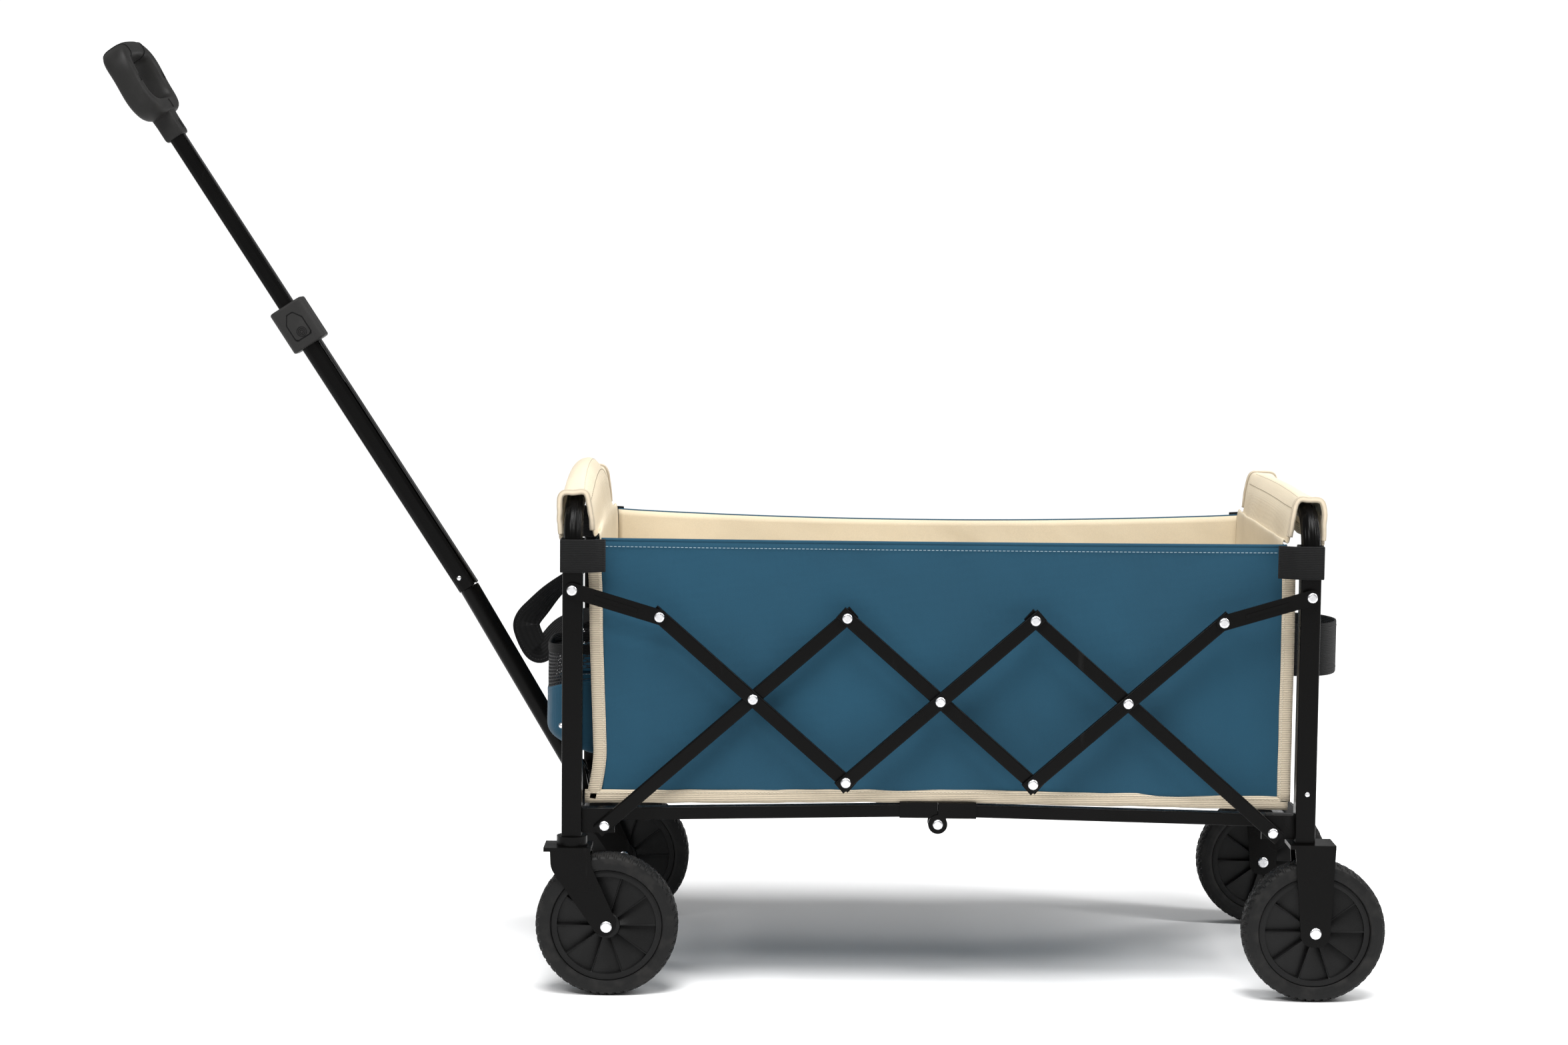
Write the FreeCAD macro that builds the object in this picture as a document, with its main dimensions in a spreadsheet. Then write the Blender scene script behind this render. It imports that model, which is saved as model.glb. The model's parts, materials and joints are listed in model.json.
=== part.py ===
import FreeCAD, Part
import Sketcher
import math
import os

# Folding wagon with a pull handle.
# Frame: +X to the rear, -Y the near side, +Z up, origin on the ground below the centre hinge.
# The two ends are rigid frames. Rails hinged at the middle join them, and a scissor runs up each side.

Vector = FreeCAD.Vector
Rotation = FreeCAD.Rotation
doc = FreeCAD.newDocument("folding_wagon")

# Driving dimensions, in millimetres and degrees.
DIMENSIONS = [
    ("post_side", 25),
    ("post_wall", 1.5),
    ("post_corner", 3),
    ("post_reach", 457),
    ("post_line", 229),
    ("post_foot", 200),
    ("post_top", 564),
    ("bow_radius", 12),
    ("bow_wall", 1.5),
    ("bow_corner", 48),
    ("front_crown", 16),
    ("rear_crown", 2),
    ("cross_side", 20),
    ("cross_height", 210),
    ("bar_width", 17.5),
    ("bar_depth", 6),
    ("bar_wall", 1.5),
    ("bar_overhang", 11),
    ("bar_edge", 2),
    ("layer_start", 229),
    ("layer_step", 6.4),
    ("half_arm", 154.9),
    ("long_arm", 245),
    ("scissor_angle", 41.35),
    ("scissor_low", 212.8),
    ("link_thick", 2.5),
    ("link_width", 19),
    ("link_pivot_height", 509.2),
    ("link_length", 112.9),
    ("front_link_line", 244.6),
    ("rear_link_line", 248.2),
    ("rivet_shaft", 4),
    ("rivet_head", 6.6),
    ("rivet_height", 3.2),
    ("fit_gap", 0.05),
    ("rail_side", 16),
    ("rail_wall", 1.5),
    ("rail_reach", 436),
    ("rail_outer", 224),
    ("rail_centre", 216),
    ("rail_rise", 9.2),
    ("rail_line", 208),
    ("sleeve_length", 48),
    ("boss_radius", 12),
    ("wheel_radius", 89),
    ("wheel_width", 40),
    ("tyre_bore", 69.5),
    ("tyre_shoulder", 6),
    ("hub_bore", 5.1),
    ("hub_boss", 20),
    ("hub_rim", 6),
    ("hub_inset", 3),
    ("hub_recess", 6),
    ("axle_radius", 5),
    ("wheel_wedges", 10),
    ("caster_trail", 44.4),
    ("rear_axle_reach", 470.6),
    ("fork_gap", 44),
    ("fork_thick", 2.5),
    ("fork_crown", 188),
    ("panel_face", 427),
    ("panel_thick", 3),
    ("panel_half", 198),
    ("bin_floor", 250),
    ("floor_thick", 6),
    ("bin_rim", 570),
    ("side_line", 211),
    ("side_thick", 4),
    ("cover_hem", 576),
    ("cover_gap", 1),
    ("cover_reach", 476),
    ("cover_half", 210),
    ("cover_thick", 3),
    ("pocket_reach", 494),
    ("pocket_inner", 62),
    ("pocket_outer", 196),
    ("pocket_base", 298),
    ("pocket_rim", 430),
    ("pocket_wall", 2.5),
    ("webbing_width", 25),
    ("webbing_thick", 2),
    ("grab_width", 68),
    ("band_low", 531),
    ("band_high", 572),
    ("band_thick", 2),
    ("handle_pivot_reach", 466.4),
    ("handle_pivot_height", 245),
    ("handle_tilt", 30.5),
    ("handle_bend", 2.5),
    ("lower_length", 278),
    ("lower_radius", 13),
    ("tube_wall", 1.5),
    ("middle_width", 27),
    ("middle_depth", 30),
    ("middle_length", 412),
    ("middle_corner", 8),
    ("upper_width", 20.6),
    ("upper_depth", 23.6),
    ("upper_corner", 6),
    ("upper_hidden", 100),
    ("socket_along", 693),
    ("collar_width", 48),
    ("collar_depth", 44),
    ("collar_length", 60),
    ("button_width", 22),
    ("button_length", 34),
    ("button_thick", 5.5),
    ("socket_side", 33),
    ("socket_length", 34),
    ("grip_width", 130),
    ("grip_length", 106),
    ("grip_thick", 34),
    ("grip_bar", 24),
]

sheet = doc.addObject("Spreadsheet::Sheet", "dims")
for row, (alias, value) in enumerate(DIMENSIONS, start=1):
    sheet.set("A%d" % row, alias)
    sheet.set("B%d" % row, str(value))
    sheet.setAlias("B%d" % row, alias)
doc.recompute()

nodes = []


def dim(alias):
    return float(sheet.get(alias))


def bind(item, **expressions):
    """Drive properties of an object from the sheet."""
    for name, expression in expressions.items():
        item.setExpression(name, expression)
    return item


def node(item, name):
    """Name an object as a sub-part of its own."""
    item.Label = name
    nodes.append(item)
    return item


def place(item, position, rotation=Rotation()):
    item.Placement = FreeCAD.Placement(position, rotation)
    return item


# ---------------------------------------------------------------- building blocks


def box(name, length, width, height, position, rotation=Rotation()):
    """A Part box with bound sides, its corner at the position."""
    item = doc.addObject("Part::Box", name)
    bind(item, Length=length, Width=width, Height=height)
    return place(item, position, rotation)


def cylinder(name, radius, height, position, rotation=Rotation()):
    item = doc.addObject("Part::Cylinder", name)
    bind(item, Radius=radius, Height=height)
    return place(item, position, rotation)


def cut(name, base, tool):
    item = doc.addObject("Part::Cut", name)
    item.Base = base
    item.Tool = tool
    return item


def fuse(name, items):
    item = doc.addObject("Part::MultiFuse", name)
    item.Shapes = items
    return item


def group(name, items):
    """Several separate solids kept as one sub-part."""
    item = doc.addObject("Part::Compound", name)
    item.Links = items
    return item


def mirrored(name, source):
    """The same piece on the far side."""
    item = doc.addObject("Part::Mirroring", name)
    item.Source = source
    item.Normal = Vector(0, 1, 0)
    item.Base = Vector(0, 0, 0)
    return item


def both_sides(name, near):
    return group(name, [near, mirrored(name + "_far_side", near)])


def solid(name, shape):
    """A piece whose outline is worked out from the sheet in code."""
    item = doc.addObject("Part::Feature", name)
    item.Shape = shape
    item.Placement = FreeCAD.Placement()
    return item


def rounded(name, base, radius, chosen):
    """Round the edges for which chosen(edge) is true."""
    doc.recompute()
    item = doc.addObject("Part::Fillet", name)
    item.Base = base
    picked = [i for i, edge in enumerate(base.Shape.Edges, start=1) if chosen(edge)]
    item.Edges = [(i, radius, radius) for i in picked]
    return item


def plane_of(body, role):
    return next(f for f in body.Origin.OriginFeatures if f.Role == role)


def sketch_in(body, name, role="XY_Plane"):
    sketch = body.newObject("Sketcher::SketchObject", name)
    sketch.AttachmentSupport = [(plane_of(body, role), "")]
    sketch.MapMode = "FlatFace"
    return sketch


def constrain(sketch, label, expression, *terms):
    """Add a named constraint and bind its value."""
    index = sketch.addConstraint(Sketcher.Constraint(*terms))
    sketch.renameConstraint(index, label)
    sketch.setExpression("Constraints." + label, expression)


def draw_rectangle(sketch, width, height, label="side"):
    """A rectangle centred on the sketch's origin, with bound sides."""
    first = sketch.GeometryCount
    corners = [(-1, -1), (1, -1), (1, 1), (-1, 1)]
    for number in range(4):
        start = Vector(*corners[number], 0)
        end = Vector(*corners[(number + 1) % 4], 0)
        sketch.addGeometry(Part.LineSegment(start, end), False)
    for number in range(4):
        following = first + (number + 1) % 4
        join = Sketcher.Constraint("Coincident", first + number, 2, following, 1)
        sketch.addConstraint(join)
    for number, kind in enumerate(["Horizontal", "Vertical", "Horizontal", "Vertical"]):
        sketch.addConstraint(Sketcher.Constraint(kind, first + number))
    middle = Sketcher.Constraint("Symmetric", first, 1, first + 2, 1, -1, 1)
    sketch.addConstraint(middle)
    constrain(sketch, label + "_x", width, "DistanceX", first, 1, first, 2, 2.0)
    constrain(sketch, label + "_y", height, "DistanceY", first + 1, 1, first + 1, 2, 2.0)


def draw_circle(sketch, radius, side, along, label):
    """A circle on the sketch's X axis, at a bound distance to side -1 or 1, or on the origin for side 0."""
    circle = Part.Circle(Vector(side, 0, 0), Vector(0, 0, 1), 1)
    index = sketch.addGeometry(circle, False)
    constrain(sketch, label + "_r", radius, "Radius", index, 1.0)
    if side == 0:
        sketch.addConstraint(Sketcher.Constraint("Coincident", index, 3, -1, 1))
        return
    sketch.addConstraint(Sketcher.Constraint("PointOnObject", index, 3, -1))
    constrain(sketch, label + "_x", along, "Distance", index, 3, -2, 1.0)


def pad(body, name, sketch, length):
    item = body.newObject("PartDesign::Pad", name)
    item.Profile = sketch
    bind(item, Length=length)
    doc.recompute()
    return item


def pocket(body, name, sketch, length):
    """Cut from the sketch's plane into the solid, and make sure that it cuts."""
    before = body.Tip.Shape.Volume
    item = body.newObject("PartDesign::Pocket", name)
    item.Profile = sketch
    item.Reversed = True
    bind(item, Length=length)
    doc.recompute()
    if not body.Tip.Shape.Volume < before:
        raise RuntimeError(name + " cuts nothing")
    return item


def edge_fillet(body, name, radius, chosen):
    item = body.newObject("PartDesign::Fillet", name)
    base = body.Tip if body.Tip != item else item.BaseFeature
    edges = base.Shape.Edges
    picked = ["Edge%d" % i for i, edge in enumerate(edges, start=1) if chosen(edge)]
    item.Base = (base, picked)
    bind(item, Radius=radius)
    doc.recompute()
    return item


def new_body(name):
    return doc.addObject("PartDesign::Body", name)


def runs_along(axis):
    """Straight edges parallel to an axis."""

    def chosen(edge):
        if not isinstance(edge.Curve, Part.Line):
            return False
        return abs(abs(edge.Curve.Direction.dot(axis)) - 1) < 1e-6

    return chosen


def hollow_tube(name, width, depth, length, wall, corner):
    """A rectangular tube with rounded corners, centred on Z and standing on z = 0."""
    body = new_body(name)
    outline = sketch_in(body, name + "_outline")
    draw_rectangle(outline, width, depth)
    pad(body, name + "_pad", outline, length)
    edge_fillet(body, name + "_corners", corner, runs_along(Vector(0, 0, 1)))
    bore = sketch_in(body, name + "_bore")
    draw_rectangle(bore, "%s - 2 * %s" % (width, wall), "%s - 2 * %s" % (depth, wall))
    pocket(body, name + "_hollow", bore, length)
    return body


# Directions. A plate is drawn flat in XY and stood up so that its own Z points to the near side.
STAND = Rotation(Vector(1, 0, 0), 90)


def tilt(degrees):
    """Stand a plate up and raise its own X axis by an angle."""
    return Rotation(Vector(0, 1, 0), -degrees) * STAND


def polar(point, length, degrees):
    """A point in the XZ plane, at a distance and angle from another."""
    angle = math.radians(degrees)
    x, z = point
    return (x + length * math.cos(angle), z + length * math.sin(angle))


def rivet(name, point, start, grip, spacer=0.0):
    """A domed rivet on the near side: its shaft runs outward from y = -start over the grip length."""
    base = Vector(point[0], -start, point[1])
    shaft = cylinder(name + "_shaft", "dims.rivet_shaft", str(grip), base, STAND)
    cap_place = Vector(point[0], -start - grip, point[1])
    cap = cylinder(name + "_cap", "dims.rivet_head", "dims.rivet_height", cap_place, STAND)
    outer = -start - grip - dim("rivet_height")

    def on_top(edge):
        return edge.Closed and abs(edge.CenterOfMass.y - outer) < 1e-6

    dome = rounded(name + "_dome", cap, dim("rivet_height") * 0.8, on_top)
    pieces = [shaft, dome]
    if spacer:
        pieces.append(cylinder(name + "_spacer", "dims.rivet_head", str(spacer), base, STAND))
    return fuse(name, pieces)


# ---------------------------------------------------------------- the scissor's geometry

ARM = dim("half_arm")
LONG = dim("long_arm")
THETA = dim("scissor_angle")
REACH = (2 * ARM + LONG) * math.cos(math.radians(THETA))

low_front = (-REACH, dim("scissor_low"))
cross_front = polar(low_front, LONG, THETA)
top_front = polar(low_front, LONG + ARM, THETA)
link_front = polar(cross_front, ARM, 180 - THETA)
bottom_front = polar(cross_front, ARM, -THETA)
cross_middle = polar(top_front, ARM, -THETA)
bottom_rear = polar(top_front, 2 * ARM, -THETA)
top_rear = polar(bottom_front, 2 * ARM, THETA)
cross_rear = polar(top_rear, ARM, -THETA)
low_rear = polar(top_rear, LONG + ARM, -THETA)
link_rear = polar(bottom_rear, 2 * ARM, THETA)
post_front = (-dim("post_reach"), dim("link_pivot_height"))
post_rear = (dim("post_reach"), dim("link_pivot_height"))


def layer(number):
    """Where a layer of bars starts, counted outward from the frame."""
    return dim("layer_start") + (number - 1) * dim("layer_step")


LONG_BAR = "(dims.long_arm + dims.half_arm)"
SHORT_BAR = "(2 * dims.half_arm)"
LONG_END = (1, "(dims.long_arm + dims.half_arm) / 2")
LONG_START = (-1, "(dims.long_arm + dims.half_arm) / 2")
LONG_CROSS = "(dims.long_arm - dims.half_arm) / 2"
SHORT_END = (1, "dims.half_arm")
SHORT_START = (-1, "dims.half_arm")
MIDDLE = (0, "0")


def scissor_bar(name, start, degrees, length, number, holes):
    """A channel bar with square ends, pierced where its rivets pass. The number is its layer."""
    body = new_body(name)
    outline = sketch_in(body, name + "_outline")
    draw_rectangle(outline, "%s + 2 * dims.bar_overhang" % length, "dims.bar_width")
    pad(body, name + "_pad", outline, "dims.bar_depth")
    top = dim("bar_depth")

    def outer_long(edge):
        return runs_along(Vector(1, 0, 0))(edge) and edge.CenterOfMass.z > top - 1e-6

    edge_fillet(body, name + "_edges", "dims.bar_edge", outer_long)
    channel = sketch_in(body, name + "_channel")
    inner_length = "%s + 2 * dims.bar_overhang - 2 * dims.bar_wall" % length
    draw_rectangle(channel, inner_length, "dims.bar_width - 2 * dims.bar_wall")
    pocket(body, name + "_back", channel, "dims.bar_depth - dims.bar_wall")
    pierced = sketch_in(body, name + "_holes")
    for count, (side, along) in enumerate(holes):
        draw_circle(pierced, "dims.rivet_shaft + dims.fit_gap", side, along, "hole%d" % count)
    pocket(body, name + "_pierce", pierced, "dims.bar_depth")
    span = LONG + ARM if length == LONG_BAR else 2 * ARM
    middle = polar(start, span / 2, degrees)
    return place(body, Vector(middle[0], -layer(number), middle[1]), tilt(degrees))


BARS = [
    ("bar_front_long", low_front, THETA, LONG_BAR, 1, [LONG_START, (1, LONG_CROSS), LONG_END]),
    ("bar_front_short", link_front, -THETA, SHORT_BAR, 2, [MIDDLE, SHORT_END]),
    ("bar_middle_down", top_front, -THETA, SHORT_BAR, 2, [SHORT_START, MIDDLE, SHORT_END]),
    ("bar_middle_up", bottom_front, THETA, SHORT_BAR, 3, [SHORT_START, MIDDLE, SHORT_END]),
    ("bar_rear_long", top_rear, -THETA, LONG_BAR, 2, [LONG_START, (-1, LONG_CROSS), LONG_END]),
    ("bar_rear_short", bottom_rear, THETA, SHORT_BAR, 3, [SHORT_START, MIDDLE]),
]
for name, start, degrees, length, number, holes in BARS:
    near = scissor_bar(name + "_near", start, degrees, length, number, holes)
    node(both_sides(name, near), name)


def link(name, start, finish, line):
    """A flat link with round ends and a raised bead, riveted at both ends."""
    body = new_body(name)
    outline = sketch_in(body, name + "_outline")
    draw_rectangle(outline, "dims.link_length + dims.link_width", "dims.link_width")
    pad(body, name + "_pad", outline, "dims.link_thick")
    round_end = "dims.link_width / 2 - dims.fit_gap"
    edge_fillet(body, name + "_ends", round_end, runs_along(Vector(0, 0, 1)))
    bead = sketch_in(body, name + "_bead")
    draw_rectangle(bead, "dims.link_length * 0.5", "dims.link_width * 0.26")
    pad(body, name + "_raised", bead, "dims.link_thick + 0.8")
    pierced = sketch_in(body, name + "_holes")
    for side, label in [(-1, "start"), (1, "finish")]:
        draw_circle(pierced, "dims.rivet_shaft + dims.fit_gap", side, "dims.link_length / 2", label)
    pocket(body, name + "_pierce", pierced, "dims.link_thick")
    degrees = math.degrees(math.atan2(finish[1] - start[1], finish[0] - start[0]))
    middle = ((start[0] + finish[0]) / 2, (start[1] + finish[1]) / 2)
    return place(body, Vector(middle[0], -line, middle[1]), tilt(degrees))


LINKS = [
    ("link_front", post_front, link_front, dim("front_link_line")),
    ("link_rear", link_rear, post_rear, dim("rear_link_line")),
]
for name, start, finish, line in LINKS:
    node(both_sides(name, link(name + "_near", start, finish, line)), name)


def rivets(name, near_rivets):
    """All the rivets that one body carries, on both sides, as one sub-part."""
    pieces = []
    for count, near in enumerate(near_rivets):
        pieces += [near, mirrored("%s_%d_far" % (name, count), near)]
    return node(group(name, pieces), name)


UNDER_HEAD = 0.2
two_bars = dim("layer_step") + dim("bar_depth") + UNDER_HEAD
one_bar = dim("bar_depth") + UNDER_HEAD

rivets(
    "rivets_front_long",
    [
        rivet("rivet_cross_front", cross_front, layer(1), two_bars),
        rivet("rivet_top_front", top_front, layer(1), two_bars),
    ],
)
rivets(
    "rivets_middle_up",
    [
        rivet("rivet_bottom_front", bottom_front, layer(2), two_bars),
        rivet("rivet_cross_middle", cross_middle, layer(2), two_bars),
        rivet("rivet_top_rear", top_rear, layer(2), two_bars),
    ],
)
rivets(
    "rivets_rear_long",
    [
        rivet("rivet_cross_rear", cross_rear, layer(2), two_bars),
        rivet("rivet_low_rear", low_rear, layer(2), one_bar),
    ],
)
rivets("rivets_rear_short", [rivet("rivet_bottom_rear", bottom_rear, layer(2), two_bars)])

# The links stand off the bars' outer faces, so that each link's free end only rests beside its bar.
post_face = dim("post_line") + dim("post_side") / 2
front_face = layer(2) + dim("bar_depth") + UNDER_HEAD
rear_face = layer(3) + dim("bar_depth") + UNDER_HEAD
front_outer = dim("front_link_line") + dim("link_thick") + UNDER_HEAD
rear_outer = dim("rear_link_line") + dim("link_thick") + UNDER_HEAD
front_spacer = dim("front_link_line") - front_face - UNDER_HEAD
rivets(
    "rivets_link_front",
    [rivet("rivet_link_front", link_front, front_face, front_outer - front_face, front_spacer)],
)
rivets(
    "rivets_link_rear",
    [rivet("rivet_link_rear", link_rear, rear_face, rear_outer - rear_face)],
)

# ---------------------------------------------------------------- the two end frames

LUG_LINE = 224
LUG_THICK = 4
LUG_REACH = 404
LUG_LOW = 203
LUG_HIGH = 233


def end_posts(name, way):
    """One end's square posts, each with the lug for a rail and a scissor bar. Way is -1 in front."""
    centre = Vector(way * dim("post_reach"), -dim("post_line"), dim("post_foot"))
    tube = hollow_tube(
        name + "_tube",
        "dims.post_side",
        "dims.post_side",
        "dims.post_top - dims.post_foot",
        "dims.post_wall",
        "dims.post_corner",
    )
    place(tube, centre)
    inner_wall = dim("post_reach") - dim("post_side") / 2 + dim("post_wall")
    lug_width = inner_wall - LUG_REACH
    corner_x = -inner_wall if way < 0 else LUG_REACH
    lug = box(
        name + "_lug",
        str(lug_width),
        str(LUG_THICK),
        str(LUG_HIGH - LUG_LOW),
        Vector(corner_x, -LUG_LINE - LUG_THICK, LUG_LOW),
    )
    return node(both_sides(name, fuse(name + "_near", [tube, lug])), name)


def arch_points(crown, offset):
    """The bow's line in the YZ plane, moved outward by an offset: foot, corner, crown, corner, foot."""
    line = dim("post_line")
    corner = dim("bow_corner")
    rise = math.radians(crown)
    centre_y = line - corner
    foot_z = dim("post_top")
    radius = corner + offset
    top_y = centre_y + radius * math.sin(rise)
    top_z = foot_z + radius * math.cos(rise)
    mid_y = centre_y + radius * math.cos(math.radians(45) - rise / 2)
    mid_z = foot_z + radius * math.sin(math.radians(45) - rise / 2)
    sweep = centre_y / math.sin(rise) + radius
    crown_z = foot_z - centre_y / math.tan(rise) + sweep
    return (line + offset, foot_z), (mid_y, mid_z), (top_y, top_z), crown_z


def arch_edges(crown, offset):
    """Corner arc, crown arc, corner arc."""
    foot, mid, top, crown_z = arch_points(crown, offset)

    def at(point, side):
        return Vector(0, side * point[0], point[1])

    return [
        Part.Arc(at(foot, -1), at(mid, -1), at(top, -1)).toShape(),
        Part.Arc(at(top, -1), Vector(0, 0, crown_z), at(top, 1)).toShape(),
        Part.Arc(at(top, 1), at(mid, 1), at(foot, 1)).toShape(),
    ]


def bow(name, way, crown):
    """The bent tube that joins the tops of two posts."""
    path = Part.Wire(arch_edges(crown, 0))
    foot = Vector(0, -dim("post_line"), dim("post_top"))

    def swept(radius):
        section = Part.Wire([Part.Circle(foot, Vector(0, 0, 1), radius).toShape()])
        return path.makePipeShell([section], True, False)

    outer = swept(dim("bow_radius"))
    inner = swept(dim("bow_radius") - dim("bow_wall"))
    shape = outer.cut(inner)
    return node(place(solid(name, shape), Vector(way * dim("post_reach"), 0, 0)), name)


def cross_tube(name, way):
    """The square tube between the posts' feet."""
    length = "2 * dims.post_line - dims.post_side"
    side = "dims.cross_side"
    body = hollow_tube(name, side, side, length, "dims.post_wall", "dims.post_corner")
    half = dim("post_line") - dim("post_side") / 2
    place(body, Vector(way * dim("post_reach"), half, dim("cross_height")), STAND)
    return node(body, name)


def rail_pin(name, way):
    """The pin from the lug through the rail's outer end, with its head inside."""
    base = Vector(way * dim("rail_reach"), -LUG_LINE, dim("rail_outer"))
    inner_face = dim("rail_line") - dim("rail_side") / 2 - UNDER_HEAD
    inward = Rotation(Vector(1, 0, 0), -90)
    shaft = cylinder(name + "_shaft", "dims.rivet_shaft", str(LUG_LINE - inner_face), base, inward)
    head_place = Vector(base.x, -inner_face, base.z)
    head = cylinder(name + "_head", "dims.rivet_head", "dims.rivet_height * 0.7", head_place, inward)
    return fuse(name, [shaft, head])


lug_face = LUG_LINE + LUG_THICK
front_standoff = dim("front_link_line") - post_face - UNDER_HEAD
rear_standoff = dim("rear_link_line") - post_face - UNDER_HEAD
end_posts("front_posts", -1)
end_posts("rear_posts", 1)
bow("front_bow", -1, dim("front_crown"))
bow("rear_bow", 1, dim("rear_crown"))
cross_tube("front_cross_tube", -1)
cross_tube("rear_cross_tube", 1)
rivets(
    "front_rivets",
    [
        rivet("rivet_post_front", post_front, post_face, front_outer - post_face, front_standoff),
        rivet("rivet_low_front", low_front, lug_face, layer(1) + one_bar - lug_face),
        rail_pin("rail_pin_front", -1),
    ],
)
rear_stub_place = Vector(low_rear[0], -lug_face, low_rear[1])
rear_stub_length = str(layer(2) - 0.3 - lug_face)
rivets(
    "rear_rivets",
    [
        rivet("rivet_post_rear", post_rear, post_face, rear_outer - post_face, rear_standoff),
        cylinder("stub_low_rear", "dims.rivet_shaft", rear_stub_length, rear_stub_place, STAND),
        rail_pin("rail_pin_rear", 1),
    ],
)


# ---------------------------------------------------------------- rails and centre hinge


def across(name, radius, point, line_from, line_to):
    """A round bar parallel to Y on the near side, between two distances from the middle."""
    base = Vector(point[0], -line_from, point[1])
    return cylinder(name, radius, str(line_to - line_from), base, STAND)


rail_inner = dim("rail_line") - dim("rail_side") / 2
rail_face = dim("rail_line") + dim("rail_side") / 2
rail_angle = math.degrees(math.atan2(dim("rail_rise"), dim("rail_reach")))
RAIL_END = 8
RAIL_BUTT = 0.4
SHELL = 1.5
EAR = 2
FRONT_EAR_GAP = 0.15
REAR_EAR_GAP = 2.7
SLEEVE_ROOF = 241.6
SLEEVE_LOW = 223.6
BELOW_SLEEVE = 200
PIN_HOLE = "dims.rivet_shaft + dims.fit_gap"


def rail(name, way):
    """Half of one bottom rail: a square tube from the end frame's lug to the centre hinge."""
    tube = hollow_tube(
        name + "_tube",
        "dims.rail_side",
        "dims.rail_side",
        "dims.rail_reach + %s - %s" % (RAIL_END, RAIL_BUTT),
        "dims.rail_wall",
        "dims.post_corner / 2",
    )
    pivot = (way * dim("rail_reach"), dim("rail_outer"))
    inward = rail_angle if way < 0 else 180 - rail_angle
    end = polar(pivot, -RAIL_END, inward)
    place(tube, Vector(end[0], -dim("rail_line"), end[1]), Rotation(Vector(0, 1, 0), 90 - inward))
    bore = across(name + "_bore", PIN_HOLE, pivot, rail_inner - 1, rail_face + 1)
    return cut(name, tube, bore)


def sleeve(name, way, gap):
    """The bracket over a rail's inner end, with two ears that hang to the hinge pin below the rail."""
    start = rail_inner - gap - EAR
    finish = rail_face + gap + EAR
    reach = dim("sleeve_length")
    corner_x = -reach if way < 0 else RAIL_BUTT
    width = finish - start
    pin = (0, dim("rail_centre"))
    block = box(
        name + "_block",
        "dims.sleeve_length - %s" % RAIL_BUTT,
        str(width),
        str(SLEEVE_ROOF + SHELL - SLEEVE_LOW),
        Vector(corner_x, -finish, SLEEVE_LOW),
    )
    boss = across(name + "_boss", "dims.boss_radius", pin, start, finish)
    slot = box(
        name + "_slot",
        "2 * dims.sleeve_length + 2",
        str(width - 2 * EAR),
        str(SLEEVE_ROOF - BELOW_SLEEVE),
        Vector(-reach - 1, -finish + EAR, BELOW_SLEEVE),
    )
    bore = across(name + "_bore", PIN_HOLE, pin, start - 1, finish + 1)
    return cut(name, cut(name + "_ears", fuse(name + "_blank", [block, boss]), slot), bore)


near_rail_front = rail("near_rail_front", -1)
near_rail_rear = rail("near_rail_rear", 1)
for name, way, gap in [("front", -1, FRONT_EAR_GAP), ("rear", 1, REAR_EAR_GAP)]:
    sleeves = both_sides("hinge_sleeves_" + name, sleeve("sleeve_" + name, way, gap))
    node(sleeves, "hinge_sleeves_" + name)

hinge_start = rail_inner - REAR_EAR_GAP - EAR - UNDER_HEAD
hinge_grip = rail_face + REAR_EAR_GAP + EAR + UNDER_HEAD - hinge_start
rivets("hinge_bolts", [rivet("hinge_bolt", (0, dim("rail_centre")), hinge_start, hinge_grip)])

CROSS_BAR_X = 70
CROSS_BAR_RADIUS = 6
for name, way, near_rail in [("rail_front", -1, near_rail_front), ("rail_rear", 1, near_rail_rear)]:
    height = dim("rail_outer") + dim("rail_rise") * (1 - CROSS_BAR_X / dim("rail_reach"))
    bar_place = Vector(way * CROSS_BAR_X, rail_inner, height)
    bar = cylinder(name + "_cross_bar", str(CROSS_BAR_RADIUS), str(2 * rail_inner), bar_place, STAND)
    node(group(name, [near_rail, mirrored(name + "_far", near_rail), bar]), name)

# ---------------------------------------------------------------- wheels, casters and forks


def rounded_plate(points, start, thickness):
    """A plate in XZ whose corners (x, z, radius) are rounded, running outward from y = -start."""
    edges = []
    ends = []
    count = len(points)
    for index, (x, z, radius) in enumerate(points):
        here = Vector(x, -start, z)
        before = Vector(points[index - 1][0], -start, points[index - 1][1])
        after = Vector(points[(index + 1) % count][0], -start, points[(index + 1) % count][1])
        back = (before - here).normalize()
        ahead = (after - here).normalize()
        half = back.getAngle(ahead) / 2
        if radius == 0:
            ends.append((here, here, None))
            continue
        reach = radius / math.tan(half)
        middle = (back + ahead).normalize()
        arc_mid = here + middle * (radius / math.sin(half) - radius)
        ends.append((here + back * reach, here + ahead * reach, arc_mid))
    for index, (arc_start, arc_end, arc_mid) in enumerate(ends):
        if arc_mid is not None:
            edges.append(Part.Arc(arc_start, arc_mid, arc_end).toShape())
        following = ends[(index + 1) % count][0]
        if (following - arc_end).Length > 1e-6:
            edges.append(Part.LineSegment(arc_end, following).toShape())
    face = Part.Face(Part.Wire(Part.__sortEdges__(edges)))
    return face.extrude(Vector(0, -thickness, 0))


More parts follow.
